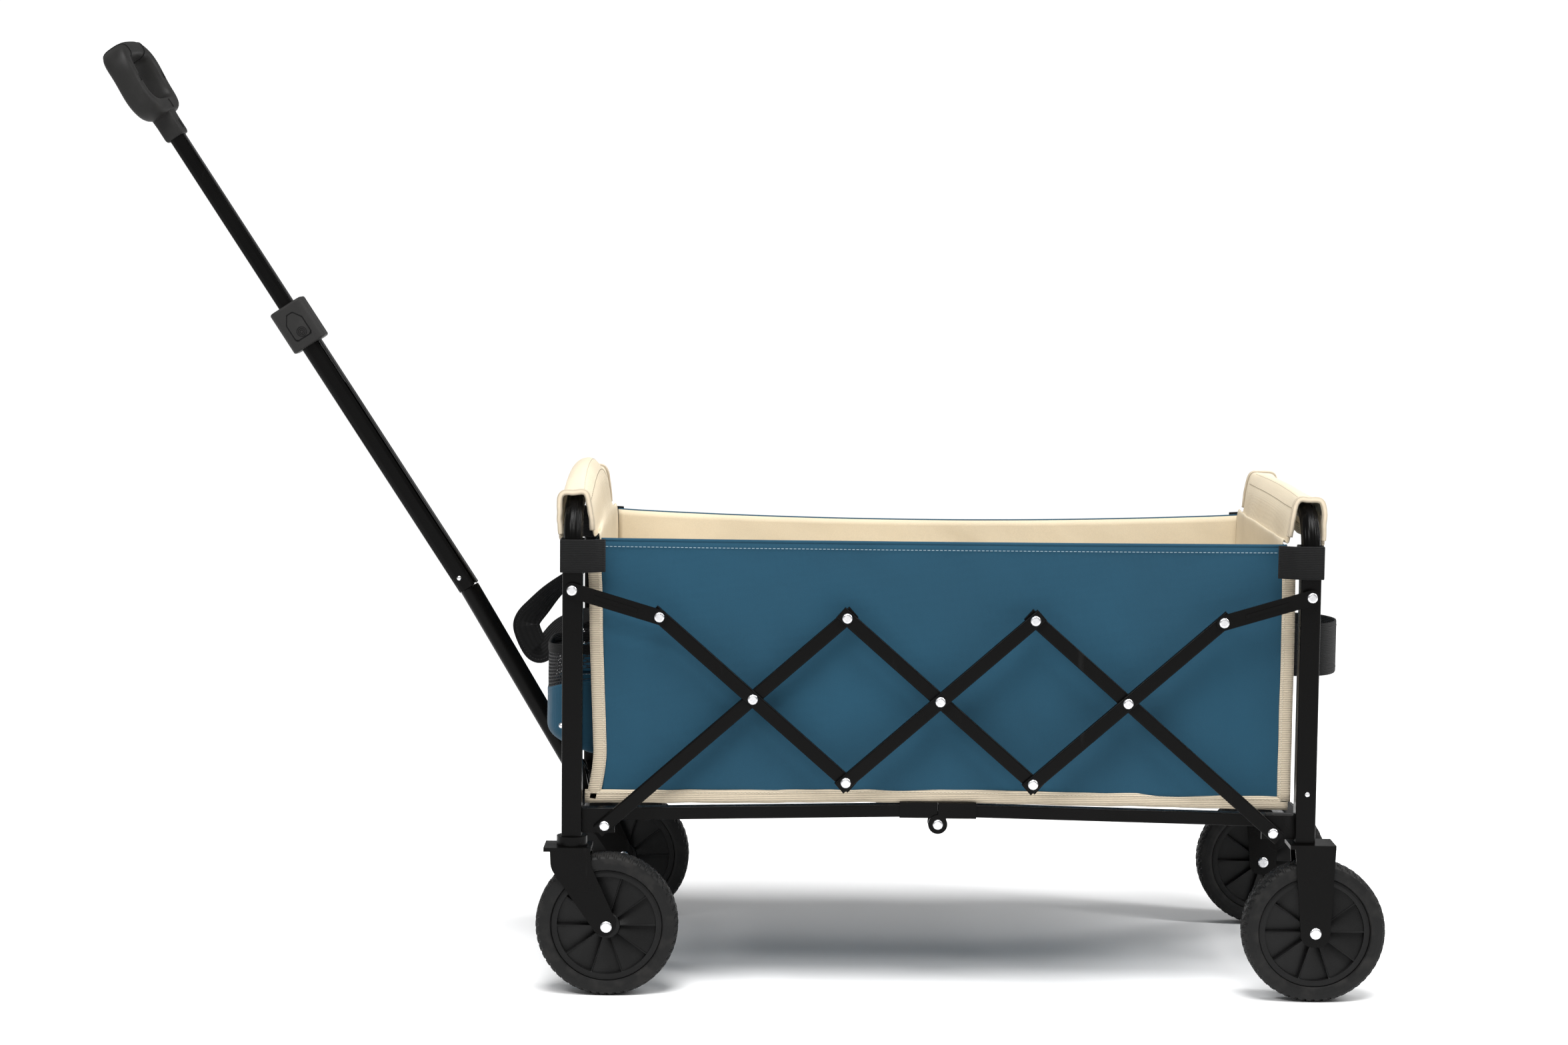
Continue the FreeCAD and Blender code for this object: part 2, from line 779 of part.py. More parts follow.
def fork(name, centre_x, leg, crown_low, crown_high, crown_front, crown_back):
    """Two legs of one outline under a crown plate, astride the near wheel, bored for the axle."""
    line = dim("post_line")
    gap = dim("fork_gap")
    thick = dim("fork_thick")
    legs = [rounded_plate(leg, line - gap / 2 - thick, thick), rounded_plate(leg, line + gap / 2, thick)]
    crown_size = (crown_back - crown_front, gap + 2 * thick, crown_high - crown_low)
    crown = Part.makeBox(*crown_size, Vector(crown_front, -line - gap / 2 - thick, crown_low))
    axle = Vector(centre_x, -line + gap, dim("wheel_radius"))
    bore = Part.makeCylinder(dim("axle_radius") + dim("fit_gap"), 2 * gap, axle, Vector(0, -1, 0))
    return solid(name, crown.fuse(legs).removeSplitter().cut(bore))


post_x = dim("post_reach")
front_axle_x = -post_x + dim("caster_trail")
rear_axle_x = dim("rear_axle_reach")
axle_z = dim("wheel_radius")
crown_z = dim("fork_crown")
CROWN_THICK = 5
PLATE_TOP = 199.8
AXLE_HEAD = 3

caster_leg = [
    (-post_x - 26, crown_z, 0),
    (-post_x + 24, crown_z, 0),
    (-post_x + 25, crown_z - 22, 26),
    (front_axle_x + 14, axle_z + 3, 12),
    (front_axle_x + 2, axle_z - 16, 12),
    (front_axle_x - 13, axle_z - 8, 12),
    (-post_x - 25, crown_z - 26, 26),
]
near_caster = fork(
    "near_caster", front_axle_x, caster_leg, crown_z - CROWN_THICK, crown_z, -post_x - 34, -post_x + 25
)
SWIVEL_RADIUS = 19
swivel_place = Vector(-post_x, -dim("post_line"), crown_z)
swivel = cylinder("swivel_bearing", str(SWIVEL_RADIUS), "%s - dims.fork_crown" % PLATE_TOP, swivel_place)
near_caster_fork = fuse("near_caster_fork", [near_caster, swivel])

rear_leg = [
    (post_x - 14, PLATE_TOP - 2, 0),
    (post_x + 37, PLATE_TOP - 2, 0),
    (rear_axle_x + 18.5, axle_z, 60),
    (rear_axle_x + 17, axle_z - 17.5, 15),
    (rear_axle_x - 17, axle_z - 17.5, 15),
    (rear_axle_x - 18.5, axle_z, 60),
]
near_rear_fork = fork(
    "near_rear_fork",
    rear_axle_x,
    rear_leg,
    PLATE_TOP - CROWN_THICK,
    PLATE_TOP,
    post_x - 20,
    post_x + 37,
)


def axle(name, centre_x):
    """The rivet through a fork and its wheel, headed at both ends."""
    outer = dim("fork_gap") / 2 + dim("fork_thick") + UNDER_HEAD
    first = -dim("post_line") + outer + AXLE_HEAD
    last = -dim("post_line") - outer - AXLE_HEAD
    shaft = cylinder(
        name + "_shaft", "dims.axle_radius", str(first - last), Vector(centre_x, first, axle_z), STAND
    )
    pieces = [shaft]
    for side, base_y, face_y in [("inner", first, first), ("outer", last + AXLE_HEAD, last)]:

        def on_face(edge, face_y=face_y):
            return edge.Closed and abs(edge.CenterOfMass.y - face_y) < 1e-6

        blank = cylinder(
            "%s_%s_head" % (name, side),
            "dims.axle_radius + 2.5",
            str(AXLE_HEAD),
            Vector(centre_x, base_y, axle_z),
            STAND,
        )
        pieces.append(rounded(blank.Name + "_dome", blank, AXLE_HEAD * 0.8, on_face))
    return fuse(name, pieces)


def wedge_cutter(face_y, depth):
    """The shallow sector recesses in one face of a hub, leaving spokes between them."""
    inner = dim("hub_boss")
    outer = dim("tyre_bore") - dim("hub_rim")
    count = int(dim("wheel_wedges"))
    half = math.pi / count - 0.05
    shapes = []
    for number in range(count):
        middle = 2 * math.pi * number / count
        points = []
        for radius, angle in [(inner, -half), (outer, -half), (outer, half), (inner, half)]:
            x, z = radius * math.cos(middle + angle), radius * math.sin(middle + angle)
            points.append(Vector(x, face_y, z))
        sector = Part.makePolygon(points + points[:1])
        shapes.append(Part.Face(sector).extrude(Vector(0, depth, 0)))
    return Part.makeCompound(shapes)


def wheel(name, centre_x):
    """A tyre and a hub with sector recesses on both faces, drawn around the near wheel's centre."""
    width = dim("wheel_width")
    start = Vector(centre_x, -dim("post_line") + width / 2, axle_z)
    rim = cylinder(name + "_tyre_blank", "dims.wheel_radius", "dims.wheel_width", start, STAND)

    def on_tread(edge):
        return edge.Closed and abs(edge.Curve.Radius - dim("wheel_radius")) < 1e-6

    shouldered = rounded(name + "_tyre_shouldered", rim, dim("tyre_shoulder"), on_tread)
    hole = cylinder(name + "_tyre_hole", "dims.tyre_bore", "dims.wheel_width", start, STAND)
    tyre = cut(name + "_tyre", shouldered, hole)
    hub_start = Vector(centre_x, start.y - dim("hub_inset"), axle_z)
    hub_width = "dims.wheel_width - 2 * dims.hub_inset"
    disc = cylinder(name + "_disc", "dims.tyre_bore - dims.fit_gap", hub_width, hub_start, STAND)
    bore = cylinder(name + "_hub_hole", "dims.hub_bore", "dims.wheel_width", start, STAND)
    depth = dim("hub_recess")
    half = width / 2 - dim("hub_inset")
    recesses = Part.makeCompound([wedge_cutter(-half, depth), wedge_cutter(half, -depth)])
    middle = Vector(centre_x, -dim("post_line"), axle_z)
    cutter = place(solid(name + "_recesses", recesses), middle)
    hub = cut(name + "_hub", cut(name + "_recessed", disc, cutter), bore)
    return tyre, hub


for name, centre_x in [("front", front_axle_x), ("rear", rear_axle_x)]:
    tyre, hub = wheel("wheel_" + name, centre_x)
    near_axle = axle("near_axle_" + name, centre_x)
    node(tyre, "tyre_%s_near" % name)
    node(hub, "hub_%s_near" % name)
    node(mirrored("far_tyre_" + name, tyre), "tyre_%s_far" % name)
    node(mirrored("far_hub_" + name, hub), "hub_%s_far" % name)
    if name == "front":
        node(near_caster_fork, "caster_fork_near")
        node(mirrored("far_caster_fork", near_caster_fork), "caster_fork_far")
        node(near_axle, "caster_axle_near")
        node(mirrored("far_axle_front", near_axle), "caster_axle_far")
    else:
        node(both_sides("rear_forks", near_rear_fork), "rear_forks")
        node(both_sides("rear_axles", near_axle), "rear_axles")

# ---------------------------------------------------------------- the handle

lower_lean = dim("handle_tilt")
upper_lean = lower_lean + dim("handle_bend")
pivot_point = (-dim("handle_pivot_reach"), dim("handle_pivot_height"))
joint_point = polar(pivot_point, dim("lower_length"), 90 + lower_lean)


def leaning(lean):
    """Turn +Z back toward the front by an angle."""
    return Rotation(Vector(0, 1, 0), -lean)


def along_handle(distance):
    """A point on the upper handle's axis, measured from the bend."""
    x, z = polar(joint_point, distance, 90 + upper_lean)
    return Vector(x, 0, z)


EAR_INNER = 15
EAR_THICK = 3
PIVOT_RADIUS = 5
ear_outline = [
    (-post_x - 9, 220, 0),
    (pivot_point[0] - 13, pivot_point[1] - 8, 8),
    (pivot_point[0] - 10, pivot_point[1] + 12, 10),
    (pivot_point[0] + 11, pivot_point[1] + 12, 10),
    (-post_x + 9, 220, 0),
]
ear = rounded_plate(ear_outline, EAR_INNER, EAR_THICK)
pivot_centre = Vector(pivot_point[0], 0, pivot_point[1])
ACROSS_HANDLE = Vector(0, -1, 0)
BORE_REACH = 50


def handle_pin(radius, start, length):
    """A cylinder on the handle's pivot axis, from a distance on the far side toward the near side."""
    return Part.makeCylinder(radius, length, pivot_centre + Vector(0, start, 0), ACROSS_HANDLE)


ear_bore = handle_pin(PIVOT_RADIUS + dim("fit_gap"), BORE_REACH, 2 * BORE_REACH)
node(both_sides("handle_bracket", solid("handle_ear", ear.cut(ear_bore))), "handle_bracket")

BOLT_HEAD_RADIUS = 8
BOLT_HEAD_HEIGHT = 4
bolt_half = EAR_INNER + EAR_THICK + UNDER_HEAD
bolt_shaft = handle_pin(PIVOT_RADIUS, bolt_half, 2 * bolt_half)
bolt_head = handle_pin(BOLT_HEAD_RADIUS, bolt_half + BOLT_HEAD_HEIGHT, BOLT_HEAD_HEIGHT)
bolt_nut = handle_pin(BOLT_HEAD_RADIUS, -bolt_half, BOLT_HEAD_HEIGHT)
node(solid("handle_pivot_bolt", bolt_shaft.fuse([bolt_head, bolt_nut])), "handle_pivot_bolt")

lower_start = polar(pivot_point, -dim("lower_radius"), 90 + lower_lean)
lower_blank = cylinder(
    "lower_blank",
    "dims.lower_radius",
    "dims.lower_length + dims.lower_radius - 1",
    Vector(lower_start[0], 0, lower_start[1]),
    leaning(lower_lean),
)
lower_hollow = cylinder(
    "lower_hollow",
    "dims.lower_radius - dims.tube_wall",
    "dims.lower_length + dims.lower_radius",
    Vector(lower_start[0], 0, lower_start[1]),
    leaning(lower_lean),
)
pivot_bore = solid("pivot_bore", ear_bore)
lower_tube = cut("lower_tube", lower_blank, lower_hollow)
node(cut("handle_lower_tube", lower_tube, pivot_bore), "handle_lower_tube")

middle_tube = hollow_tube(
    "handle_middle_tube",
    "dims.middle_width",
    "dims.middle_depth",
    "dims.middle_length",
    "dims.tube_wall",
    "dims.middle_corner",
)
node(place(middle_tube, along_handle(0), leaning(upper_lean)), "handle_middle_tube")

COLLAR_OVERLAP = 36
collar_base = dim("middle_length") - COLLAR_OVERLAP
collar_middle = collar_base + dim("collar_length") / 2


def centred_box(name, width, depth, height, along, clear="0"):
    """A box centred on the upper handle's axis, starting at a distance along it."""
    item = box(name, width + " + " + clear, depth + " + " + clear, height, Vector())
    doc.recompute()
    half_w = item.Length.Value / 2
    half_d = item.Width.Value / 2
    turn = leaning(upper_lean)
    corner = turn.multVec(Vector(-half_w, -half_d, 0))
    return place(item, along_handle(along) + corner, turn)


def handle_axis_edges(edge):
    direction = leaning(upper_lean).multVec(Vector(0, 0, 1))
    return runs_along(direction)(edge)


def house(gap, start, depth):
    """The release button's outline, a house with its ridge toward the grip, grown by a gap."""
    half = dim("button_width") / 2 + gap
    ridge = dim("button_length") / 2 + gap
    eave = dim("button_length") * 0.18
    outline = [
        (-half, -ridge, 4),
        (half, -ridge, 4),
        (half, eave, 4),
        (half * 0.35, ridge, 3),
        (-half * 0.35, ridge, 3),
        (-half, eave, 4),
    ]
    return rounded_plate(outline, start, depth)


collar_block = centred_box(
    "collar_block", "dims.collar_width", "dims.collar_depth", "dims.collar_length", collar_base
)
COLLAR_CORNER = 10
COLLAR_EDGE = 3
collar_round = rounded("collar_round", collar_block, COLLAR_CORNER, handle_axis_edges)


def end_edges(edge):
    """Edges of a block's two ends, square to the upper handle's axis."""
    axis = leaning(upper_lean).multVec(Vector(0, 0, 1))
    return abs(edge.tangentAt(edge.FirstParameter).dot(axis)) < 1e-6


collar_soft = rounded("collar_soft", collar_round, COLLAR_EDGE, end_edges)
middle_seat = centred_box(
    "middle_seat", "dims.middle_width", "dims.middle_depth", str(COLLAR_OVERLAP), collar_base
)
middle_seat_round = rounded(
    "middle_seat_round", middle_seat, dim("middle_corner"), handle_axis_edges
)
upper_way = centred_box(
    "upper_way", "dims.upper_width", "dims.upper_depth", "dims.collar_length", collar_base, "0.2"
)
upper_way_round = rounded("upper_way_round", upper_way, dim("upper_corner"), handle_axis_edges)
BUTTON_GAP = 0.6
BUTTON_PROUD = 0.6
BUTTON_TRAVEL = 1.2
button_back = dim("collar_depth") / 2 + BUTTON_PROUD - dim("button_thick")
well_floor = button_back - BUTTON_TRAVEL - 0.2
well_depth = dim("button_thick") + 4
button_well = place(
    solid("button_well", house(BUTTON_GAP, well_floor, well_depth)),
    along_handle(collar_middle),
    leaning(upper_lean),
)
collar_bored = cut("collar_bored", cut("collar_seated", collar_soft, middle_seat_round), upper_way_round)
node(cut("handle_collar", collar_bored, button_well), "handle_collar")
button = place(
    solid("release_button", house(0, button_back, dim("button_thick"))),
    along_handle(collar_middle),
    leaning(upper_lean),
)
node(button, "release_button")

SOCKET_DEPTH = 25
upper_start = dim("middle_length") - dim("upper_hidden")
upper_tube = hollow_tube(
    "handle_upper_tube",
    "dims.upper_width",
    "dims.upper_depth",
    "dims.socket_along + %s - %s" % (SOCKET_DEPTH, upper_start),
    "dims.tube_wall",
    "dims.upper_corner",
)
node(place(upper_tube, along_handle(upper_start), leaning(upper_lean)), "handle_upper_tube")

socket = centred_box(
    "socket", "dims.socket_side", "dims.socket_side", "dims.socket_length", dim("socket_along")
)
RING_CORNER = 34
OPENING_CORNER = 18
RING_EDGE = 9
SOCKET_CORNER = 6
ring_start = dim("socket_along") + dim("socket_length") - 2
ring = centred_box("grip_ring", "dims.grip_thick", "dims.grip_width", "dims.grip_length", ring_start)
handle_x = leaning(upper_lean).multVec(Vector(1, 0, 0))
socket_round = rounded("socket_round", socket, SOCKET_CORNER, handle_axis_edges)
ring_round = rounded("grip_ring_round", ring, RING_CORNER, runs_along(handle_x))
opening = centred_box(
    "grip_opening",
    "dims.grip_thick",
    "dims.grip_width - 2 * dims.grip_bar",
    "dims.grip_length - 2 * dims.grip_bar",
    ring_start + dim("grip_bar"),
    "2",
)
opening_round = rounded("grip_opening_round", opening, OPENING_CORNER, runs_along(handle_x))
ring_cut = cut("grip_ring_cut", ring_round, opening_round)


def off_plane(edge):
    """Edges of the ring's two flat faces."""
    along_x = edge.tangentAt(edge.FirstParameter).dot(handle_x)
    return abs(along_x) < 1e-6


soft_ring = rounded("grip_soft", ring_cut, RING_EDGE, off_plane)
tube_seat = centred_box(
    "tube_seat", "dims.upper_width", "dims.upper_depth", str(SOCKET_DEPTH), dim("socket_along")
)
tube_seat_round = rounded("tube_seat_round", tube_seat, dim("upper_corner"), handle_axis_edges)
node(cut("grip", fuse("grip_blank", [soft_ring, socket_round]), tube_seat_round), "grip")

# ---------------------------------------------------------------- fabric and webbing


def arch_face(crown, offset, hem):
    """The region under the bow's line moved outward by an offset, down to the hem, in the YZ plane."""
    foot, mid, top, crown_z = arch_points(crown, offset)
    edges = arch_edges(crown, offset)
    corners = [Vector(0, foot[0], foot[1]), Vector(0, foot[0], hem), Vector(0, -foot[0], hem)]
    corners.append(Vector(0, -foot[0], foot[1]))
    for start, end in zip(corners[:-1], corners[1:]):
        edges.append(Part.LineSegment(start, end).toShape())
    return Part.Face(Part.Wire(Part.__sortEdges__(edges)))


def end_panel(name, way, crown):
    """The bin's end wall, with the saddle at its top that wraps over the bow and hangs outside it."""
    inner = dim("panel_face")
    outer = dim("cover_reach")
    thick = dim("cover_thick")
    clear = dim("bow_radius") + dim("cover_gap")
    skin = arch_face(crown, clear + thick, 500).extrude(Vector(outer - inner, 0, 0))
    space = arch_face(crown, clear, 400).extrude(Vector(outer - inner - 2 * thick, 0, 0))
    skin.translate(Vector(inner, 0, 0))
    space.translate(Vector(inner + thick, 0, 0))
    half = dim("cover_half")
    hem = dim("cover_hem")
    keep = Part.makeBox(outer - inner, 2 * half, 300, Vector(inner, -half, hem))
    saddle = skin.cut(space).common(keep)
    wall_size = (dim("panel_thick"), 2 * dim("panel_half"), hem - dim("bin_floor") + 1)
    wall = Part.makeBox(*wall_size, Vector(inner, -dim("panel_half"), dim("bin_floor")))
    shape = saddle.fuse(wall).removeSplitter()
    if way < 0:
        shape = shape.mirror(Vector(0, 0, 0), Vector(1, 0, 0))
    return node(solid(name, shape), name)


end_panel("front_panel", -1, dim("front_crown"))
end_panel("rear_panel", 1, dim("rear_crown"))

WALL_GAP = 1
side_length = "2 * dims.panel_face - 2 * %s" % WALL_GAP
side_height = "dims.bin_rim - dims.bin_floor"
side_start = -dim("panel_face") + WALL_GAP
side_outer = dim("side_line") + dim("side_thick") / 2
side_place = Vector(side_start, -side_outer, dim("bin_floor"))
near_side = box("near_side", side_length, "dims.side_thick", side_height, side_place)
node(near_side, "side_panel_near")
node(mirrored("far_side", near_side), "side_panel_far")
floor_half = dim("side_line") - dim("side_thick") / 2 - WALL_GAP
floor_place = Vector(side_start, -floor_half, dim("bin_floor"))
floor = box("floor_board", side_length, str(2 * floor_half), "dims.floor_thick", floor_place)
node(floor, "floor_panel")

pocket_width = dim("pocket_outer") - dim("pocket_inner")
pocket_back = dim("panel_face") + dim("panel_thick") + WALL_GAP
pocket_deep = dim("pocket_reach") - pocket_back
wall = dim("pocket_wall")
pocket_place = Vector(-dim("pocket_reach"), -dim("pocket_outer"), dim("pocket_base"))
pocket_block = box(
    "pocket_block", str(pocket_deep), str(pocket_width), "dims.pocket_rim - dims.pocket_base", pocket_place
)
pocket_inside = box(
    "pocket_inside",
    str(pocket_deep - 2 * wall),
    str(pocket_width - 2 * wall),
    "dims.pocket_rim - dims.pocket_base",
    pocket_place + Vector(wall, wall, wall),
)
node(both_sides("front_pockets", cut("near_pocket", pocket_block, pocket_inside)), "front_pockets")


def ribbon(points, normal, thickness, width):
    """A band of even thickness along a smooth line, as wide as given along the line's normal."""
    line = Part.BSplineCurve()
    line.interpolate(points)
    outer_points = []
    for step in range(RIBBON_STEPS + 1):
        part = step / RIBBON_STEPS
        at = line.FirstParameter + part * (line.LastParameter - line.FirstParameter)
        tangent = Vector(*line.tangent(at)[0])
        outer_points.append(line.value(at) + normal.cross(tangent).normalize() * thickness)
    outer = Part.BSplineCurve()
    outer.interpolate(outer_points)
    edges = [
        line.toShape(),
        Part.LineSegment(points[-1], outer_points[-1]).toShape(),
        outer.toShape(),
        Part.LineSegment(outer_points[0], points[0]).toShape(),
    ]
    face = Part.Face(Part.Wire(Part.__sortEdges__(edges)))
    return face.extrude(normal * width)


RIBBON_STEPS = 48
STRAP_OFFSET = 30
strap_anchor = -(dim("panel_face") + dim("panel_thick") + WALL_GAP)
strap_line = [
    Vector(strap_anchor - 1, 0, 528),
    Vector(-500, 0, 482),
    Vector(-534, 0, 436),
    Vector(-524, 0, 400),
    Vector(-484, 0, 436),
    Vector(strap_anchor - 1, 0, 452),
]
strap = ribbon(strap_line, Vector(0, 1, 0), dim("webbing_thick"), dim("webbing_width"))
strap_place = Vector(0, STRAP_OFFSET - dim("webbing_width") / 2, 0)
node(place(solid("front_strap", strap), strap_place), "front_strap")

GRAB_HALF = 62
GRAB_REACH = 528
GRAB_LOW = 386
grab_anchor = dim("panel_face") + dim("panel_thick") + WALL_GAP + 1
grab_line = [
    Vector(grab_anchor, -GRAB_HALF, 0),
    Vector(GRAB_REACH - 26, -GRAB_HALF + 6, 0),
    Vector(GRAB_REACH, 0, 0),
    Vector(GRAB_REACH - 26, GRAB_HALF - 6, 0),
    Vector(grab_anchor, GRAB_HALF, 0),
]
grab = ribbon(grab_line, Vector(0, 0, 1), dim("webbing_thick"), dim("grab_width"))
node(place(solid("rear_grab_loop", grab), Vector(0, 0, GRAB_LOW)), "rear_grab_loop")


BAND_TAIL = 26
BAND_CLEAR = 0.5


def band(name, way):
    """A hook-and-loop band round the top of a post, with a tail that laps over the fabric's corner."""
    half = dim("post_side") / 2 + BAND_CLEAR
    thick = dim("band_thick")
    outer = half + thick
    height = "dims.band_high - dims.band_low"
    centre = Vector(way * dim("post_reach"), -dim("post_line"), dim("band_low"))
    around_corner = centre - Vector(outer, outer, 0)
    around = box(name + "_around", str(2 * outer), str(2 * outer), height, around_corner)
    inside_corner = centre - Vector(half, half, 0)
    inside = box(name + "_inside", str(2 * half), str(2 * half), height, inside_corner)
    tail_x = centre.x + outer if way < 0 else centre.x - outer - BAND_TAIL
    tail_place = Vector(tail_x, centre.y - outer, centre.z)
    tail = box(name + "_tail", str(BAND_TAIL), str(thick), height, tail_place)
    near = fuse(name + "_near", [cut(name + "_ring", around, inside), tail])
    return node(both_sides(name, near), name)


band("front_bands", -1)
band("rear_bands", 1)

# ---------------------------------------------------------------- checks and files

doc.recompute()
for item in doc.Objects:
    if "Invalid" in item.State or "Error" in item.State:
        raise RuntimeError("%s failed to build" % item.Name)
os.makedirs("parts", exist_ok=True)
for item in nodes:
    if item.Shape.isNull() or not item.Shape.isValid():
        raise RuntimeError("%s has no valid shape" % item.Label)
    item.Shape.exportStep("parts/%s.step" % item.Label)
print(len(nodes), "sub-parts")
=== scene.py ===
import json
import math

import bpy
from mathutils import Matrix, Vector, noise


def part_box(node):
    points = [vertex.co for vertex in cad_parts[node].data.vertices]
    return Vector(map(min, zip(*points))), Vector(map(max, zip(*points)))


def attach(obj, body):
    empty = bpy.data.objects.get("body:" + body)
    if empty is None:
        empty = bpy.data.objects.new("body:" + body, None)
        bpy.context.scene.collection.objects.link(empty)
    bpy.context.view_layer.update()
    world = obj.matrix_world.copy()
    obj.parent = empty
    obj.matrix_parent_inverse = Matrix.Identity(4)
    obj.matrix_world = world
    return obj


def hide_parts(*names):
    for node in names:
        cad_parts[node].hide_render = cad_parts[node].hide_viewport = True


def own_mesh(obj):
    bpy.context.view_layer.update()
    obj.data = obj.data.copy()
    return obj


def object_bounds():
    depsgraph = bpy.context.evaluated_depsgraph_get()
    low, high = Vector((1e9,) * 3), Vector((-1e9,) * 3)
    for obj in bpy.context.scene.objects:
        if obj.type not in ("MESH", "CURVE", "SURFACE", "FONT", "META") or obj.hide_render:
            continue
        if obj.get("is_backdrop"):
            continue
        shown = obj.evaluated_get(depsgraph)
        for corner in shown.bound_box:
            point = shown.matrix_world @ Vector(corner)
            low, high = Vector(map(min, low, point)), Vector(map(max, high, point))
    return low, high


# Looks of the folding wagon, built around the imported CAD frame.
# +X is the rear, -Y the near side and +Z up. Lengths are in metres.

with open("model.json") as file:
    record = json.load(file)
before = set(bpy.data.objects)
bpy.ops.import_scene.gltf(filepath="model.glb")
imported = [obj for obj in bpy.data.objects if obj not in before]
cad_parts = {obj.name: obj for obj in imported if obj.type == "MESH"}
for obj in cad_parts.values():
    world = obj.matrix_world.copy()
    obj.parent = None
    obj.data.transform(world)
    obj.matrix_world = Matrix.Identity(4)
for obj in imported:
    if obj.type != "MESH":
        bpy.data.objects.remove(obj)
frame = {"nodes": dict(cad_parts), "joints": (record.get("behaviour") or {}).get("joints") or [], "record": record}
cad_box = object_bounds()
TAU = 2 * math.pi
X_AXIS = Vector((1, 0, 0))
Y_AXIS = Vector((0, 1, 0))
Z_AXIS = Vector((0, 0, 1))

# ---------------------------------------------------------------- materials


def new_material(name, colour, roughness, metallic=0.0, sheen=0.0, coat=0.0, gloss=0.5):
    """A material whose uniform values sit on the shader's own sockets."""
    made = bpy.data.materials.new(name)
    made.use_nodes = True
    shader = made.node_tree.nodes["Principled BSDF"]
    shader.inputs["Base Color"].default_value = (*colour, 1)
    shader.inputs["Roughness"].default_value = roughness
    shader.inputs["Metallic"].default_value = metallic
    shader.inputs["Sheen Weight"].default_value = sheen
    shader.inputs["Sheen Roughness"].default_value = 0.5
    shader.inputs["Coat Weight"].default_value = coat
    shader.inputs["Specular IOR Level"].default_value = gloss
    return made, made.node_tree, shader


def add_node(tree, kind, **values):
    """A shader node with its input sockets set by name."""
    made = tree.nodes.new(kind)
    for name, value in values.items():
        made.inputs[name.replace("_", " ")].default_value = value
    return made


def object_points(tree, stretch=(1, 1, 1)):
    """Places on the object, in the frame's own metres."""
    source = tree.nodes.new("ShaderNodeTexCoord")
    mapping = add_node(tree, "ShaderNodeMapping", Scale=stretch)
    tree.links.new(source.outputs["Object"], mapping.inputs["Vector"])
    return mapping.outputs["Vector"]


def noise_value(tree, scale, detail=4.0, stretch=(1, 1, 1)):
    made = add_node(tree, "ShaderNodeTexNoise", Scale=scale, Detail=detail)
    tree.links.new(object_points(tree, stretch), made.inputs["Vector"])
    return made.outputs["Fac"]


def threads(tree, axis, pitch):
    """Parallel ridges across an axis, one for each thread."""
    made = tree.nodes.new("ShaderNodeTexWave")
    made.bands_direction = axis
    made.wave_profile = "SIN"
    made.inputs["Scale"].default_value = TAU / 20 / pitch
    made.inputs["Distortion"].default_value = 0.35
    made.inputs["Detail"].default_value = 1.0
    made.inputs["Detail Scale"].default_value = 40.0
    tree.links.new(object_points(tree), made.inputs["Vector"])
    return made.outputs["Fac"]


def math_node(tree, operation, first, second):
    made = tree.nodes.new("ShaderNodeMath")
    made.operation = operation
    for socket, value in zip(made.inputs, (first, second)):
        if isinstance(value, (int, float)):
            socket.default_value = value
        else:
            tree.links.new(value, socket)
    return made.outputs[0]


def spread(tree, factor, low, high, start=0.0, stop=1.0):
    """Turn a factor from start to stop into a number from low to high."""
    made = add_node(
        tree, "ShaderNodeMapRange", From_Min=start, From_Max=stop, To_Min=low, To_Max=high
    )
    tree.links.new(factor, made.inputs["Value"])
    return made.outputs["Result"]


# The Mix node's colour sockets by number, because its number sockets share their names.
COLOUR_A = 6
COLOUR_B = 7
MIXED_COLOUR = 2


def blend_colours(tree, factor, first, second):
    made = tree.nodes.new("ShaderNodeMix")
    made.data_type = "RGBA"
    made.inputs[COLOUR_A].default_value = (*first, 1)
    made.inputs[COLOUR_B].default_value = (*second, 1)
    tree.links.new(factor, made.inputs[0])
    return made.outputs[MIXED_COLOUR]


def bump(tree, shader, height, distance, strength=1.0, below=None):
    """Relief from a height. Below is a coarser relief that it lies on."""
    made = add_node(tree, "ShaderNodeBump", Strength=strength, Distance=distance)
    tree.links.new(height, made.inputs["Height"])
    if below is not None:
        tree.links.new(below, made.inputs["Normal"])
    tree.links.new(made.outputs["Normal"], shader.inputs["Normal"])
    return made.outputs["Normal"]


def tint(colour, factor):
    return tuple(min(1.0, channel * factor) for channel in colour)


def powder_coat():
    """Satin black paint: a fine orange-peel skin, uneven gloss and faint scuffs along the tubes."""
    colour = (0.0021, 0.0020, 0.0019)
    made, tree, shader = new_material("black_powder_coat", colour, 0.24, gloss=0.085)
    scuffs = spread(tree, noise_value(tree, 60, 8, (1, 1, 0.15)), 0, 1, 0.66, 0.8)
    worn = blend_colours(tree, scuffs, colour, (0.009, 0.0088, 0.0086))
    tree.links.new(worn, shader.inputs["Base Color"])
    gloss = spread(tree, noise_value(tree, 14, 3), 0.2, 0.34, 0.3, 0.7)
    tree.links.new(gloss, shader.inputs["Roughness"])
    bump(tree, shader, noise_value(tree, 1500, 2), 0.00012, 0.6)
    return made


def zinc_plate():
    made, tree, shader = new_material("zinc_plate", (0.72, 0.72, 0.73), 0.25, metallic=1.0)
    grain = noise_value(tree, 420, 5)
    tree.links.new(spread(tree, grain, 0.16, 0.42, 0.3, 0.7), shader.inputs["Roughness"])
    shade = blend_colours(tree, noise_value(tree, 130, 3), (0.82, 0.82, 0.83), (0.6, 0.6, 0.62))
    tree.links.new(shade, shader.inputs["Base Color"])
    bump(tree, shader, grain, 0.0001, 0.5)
    return made


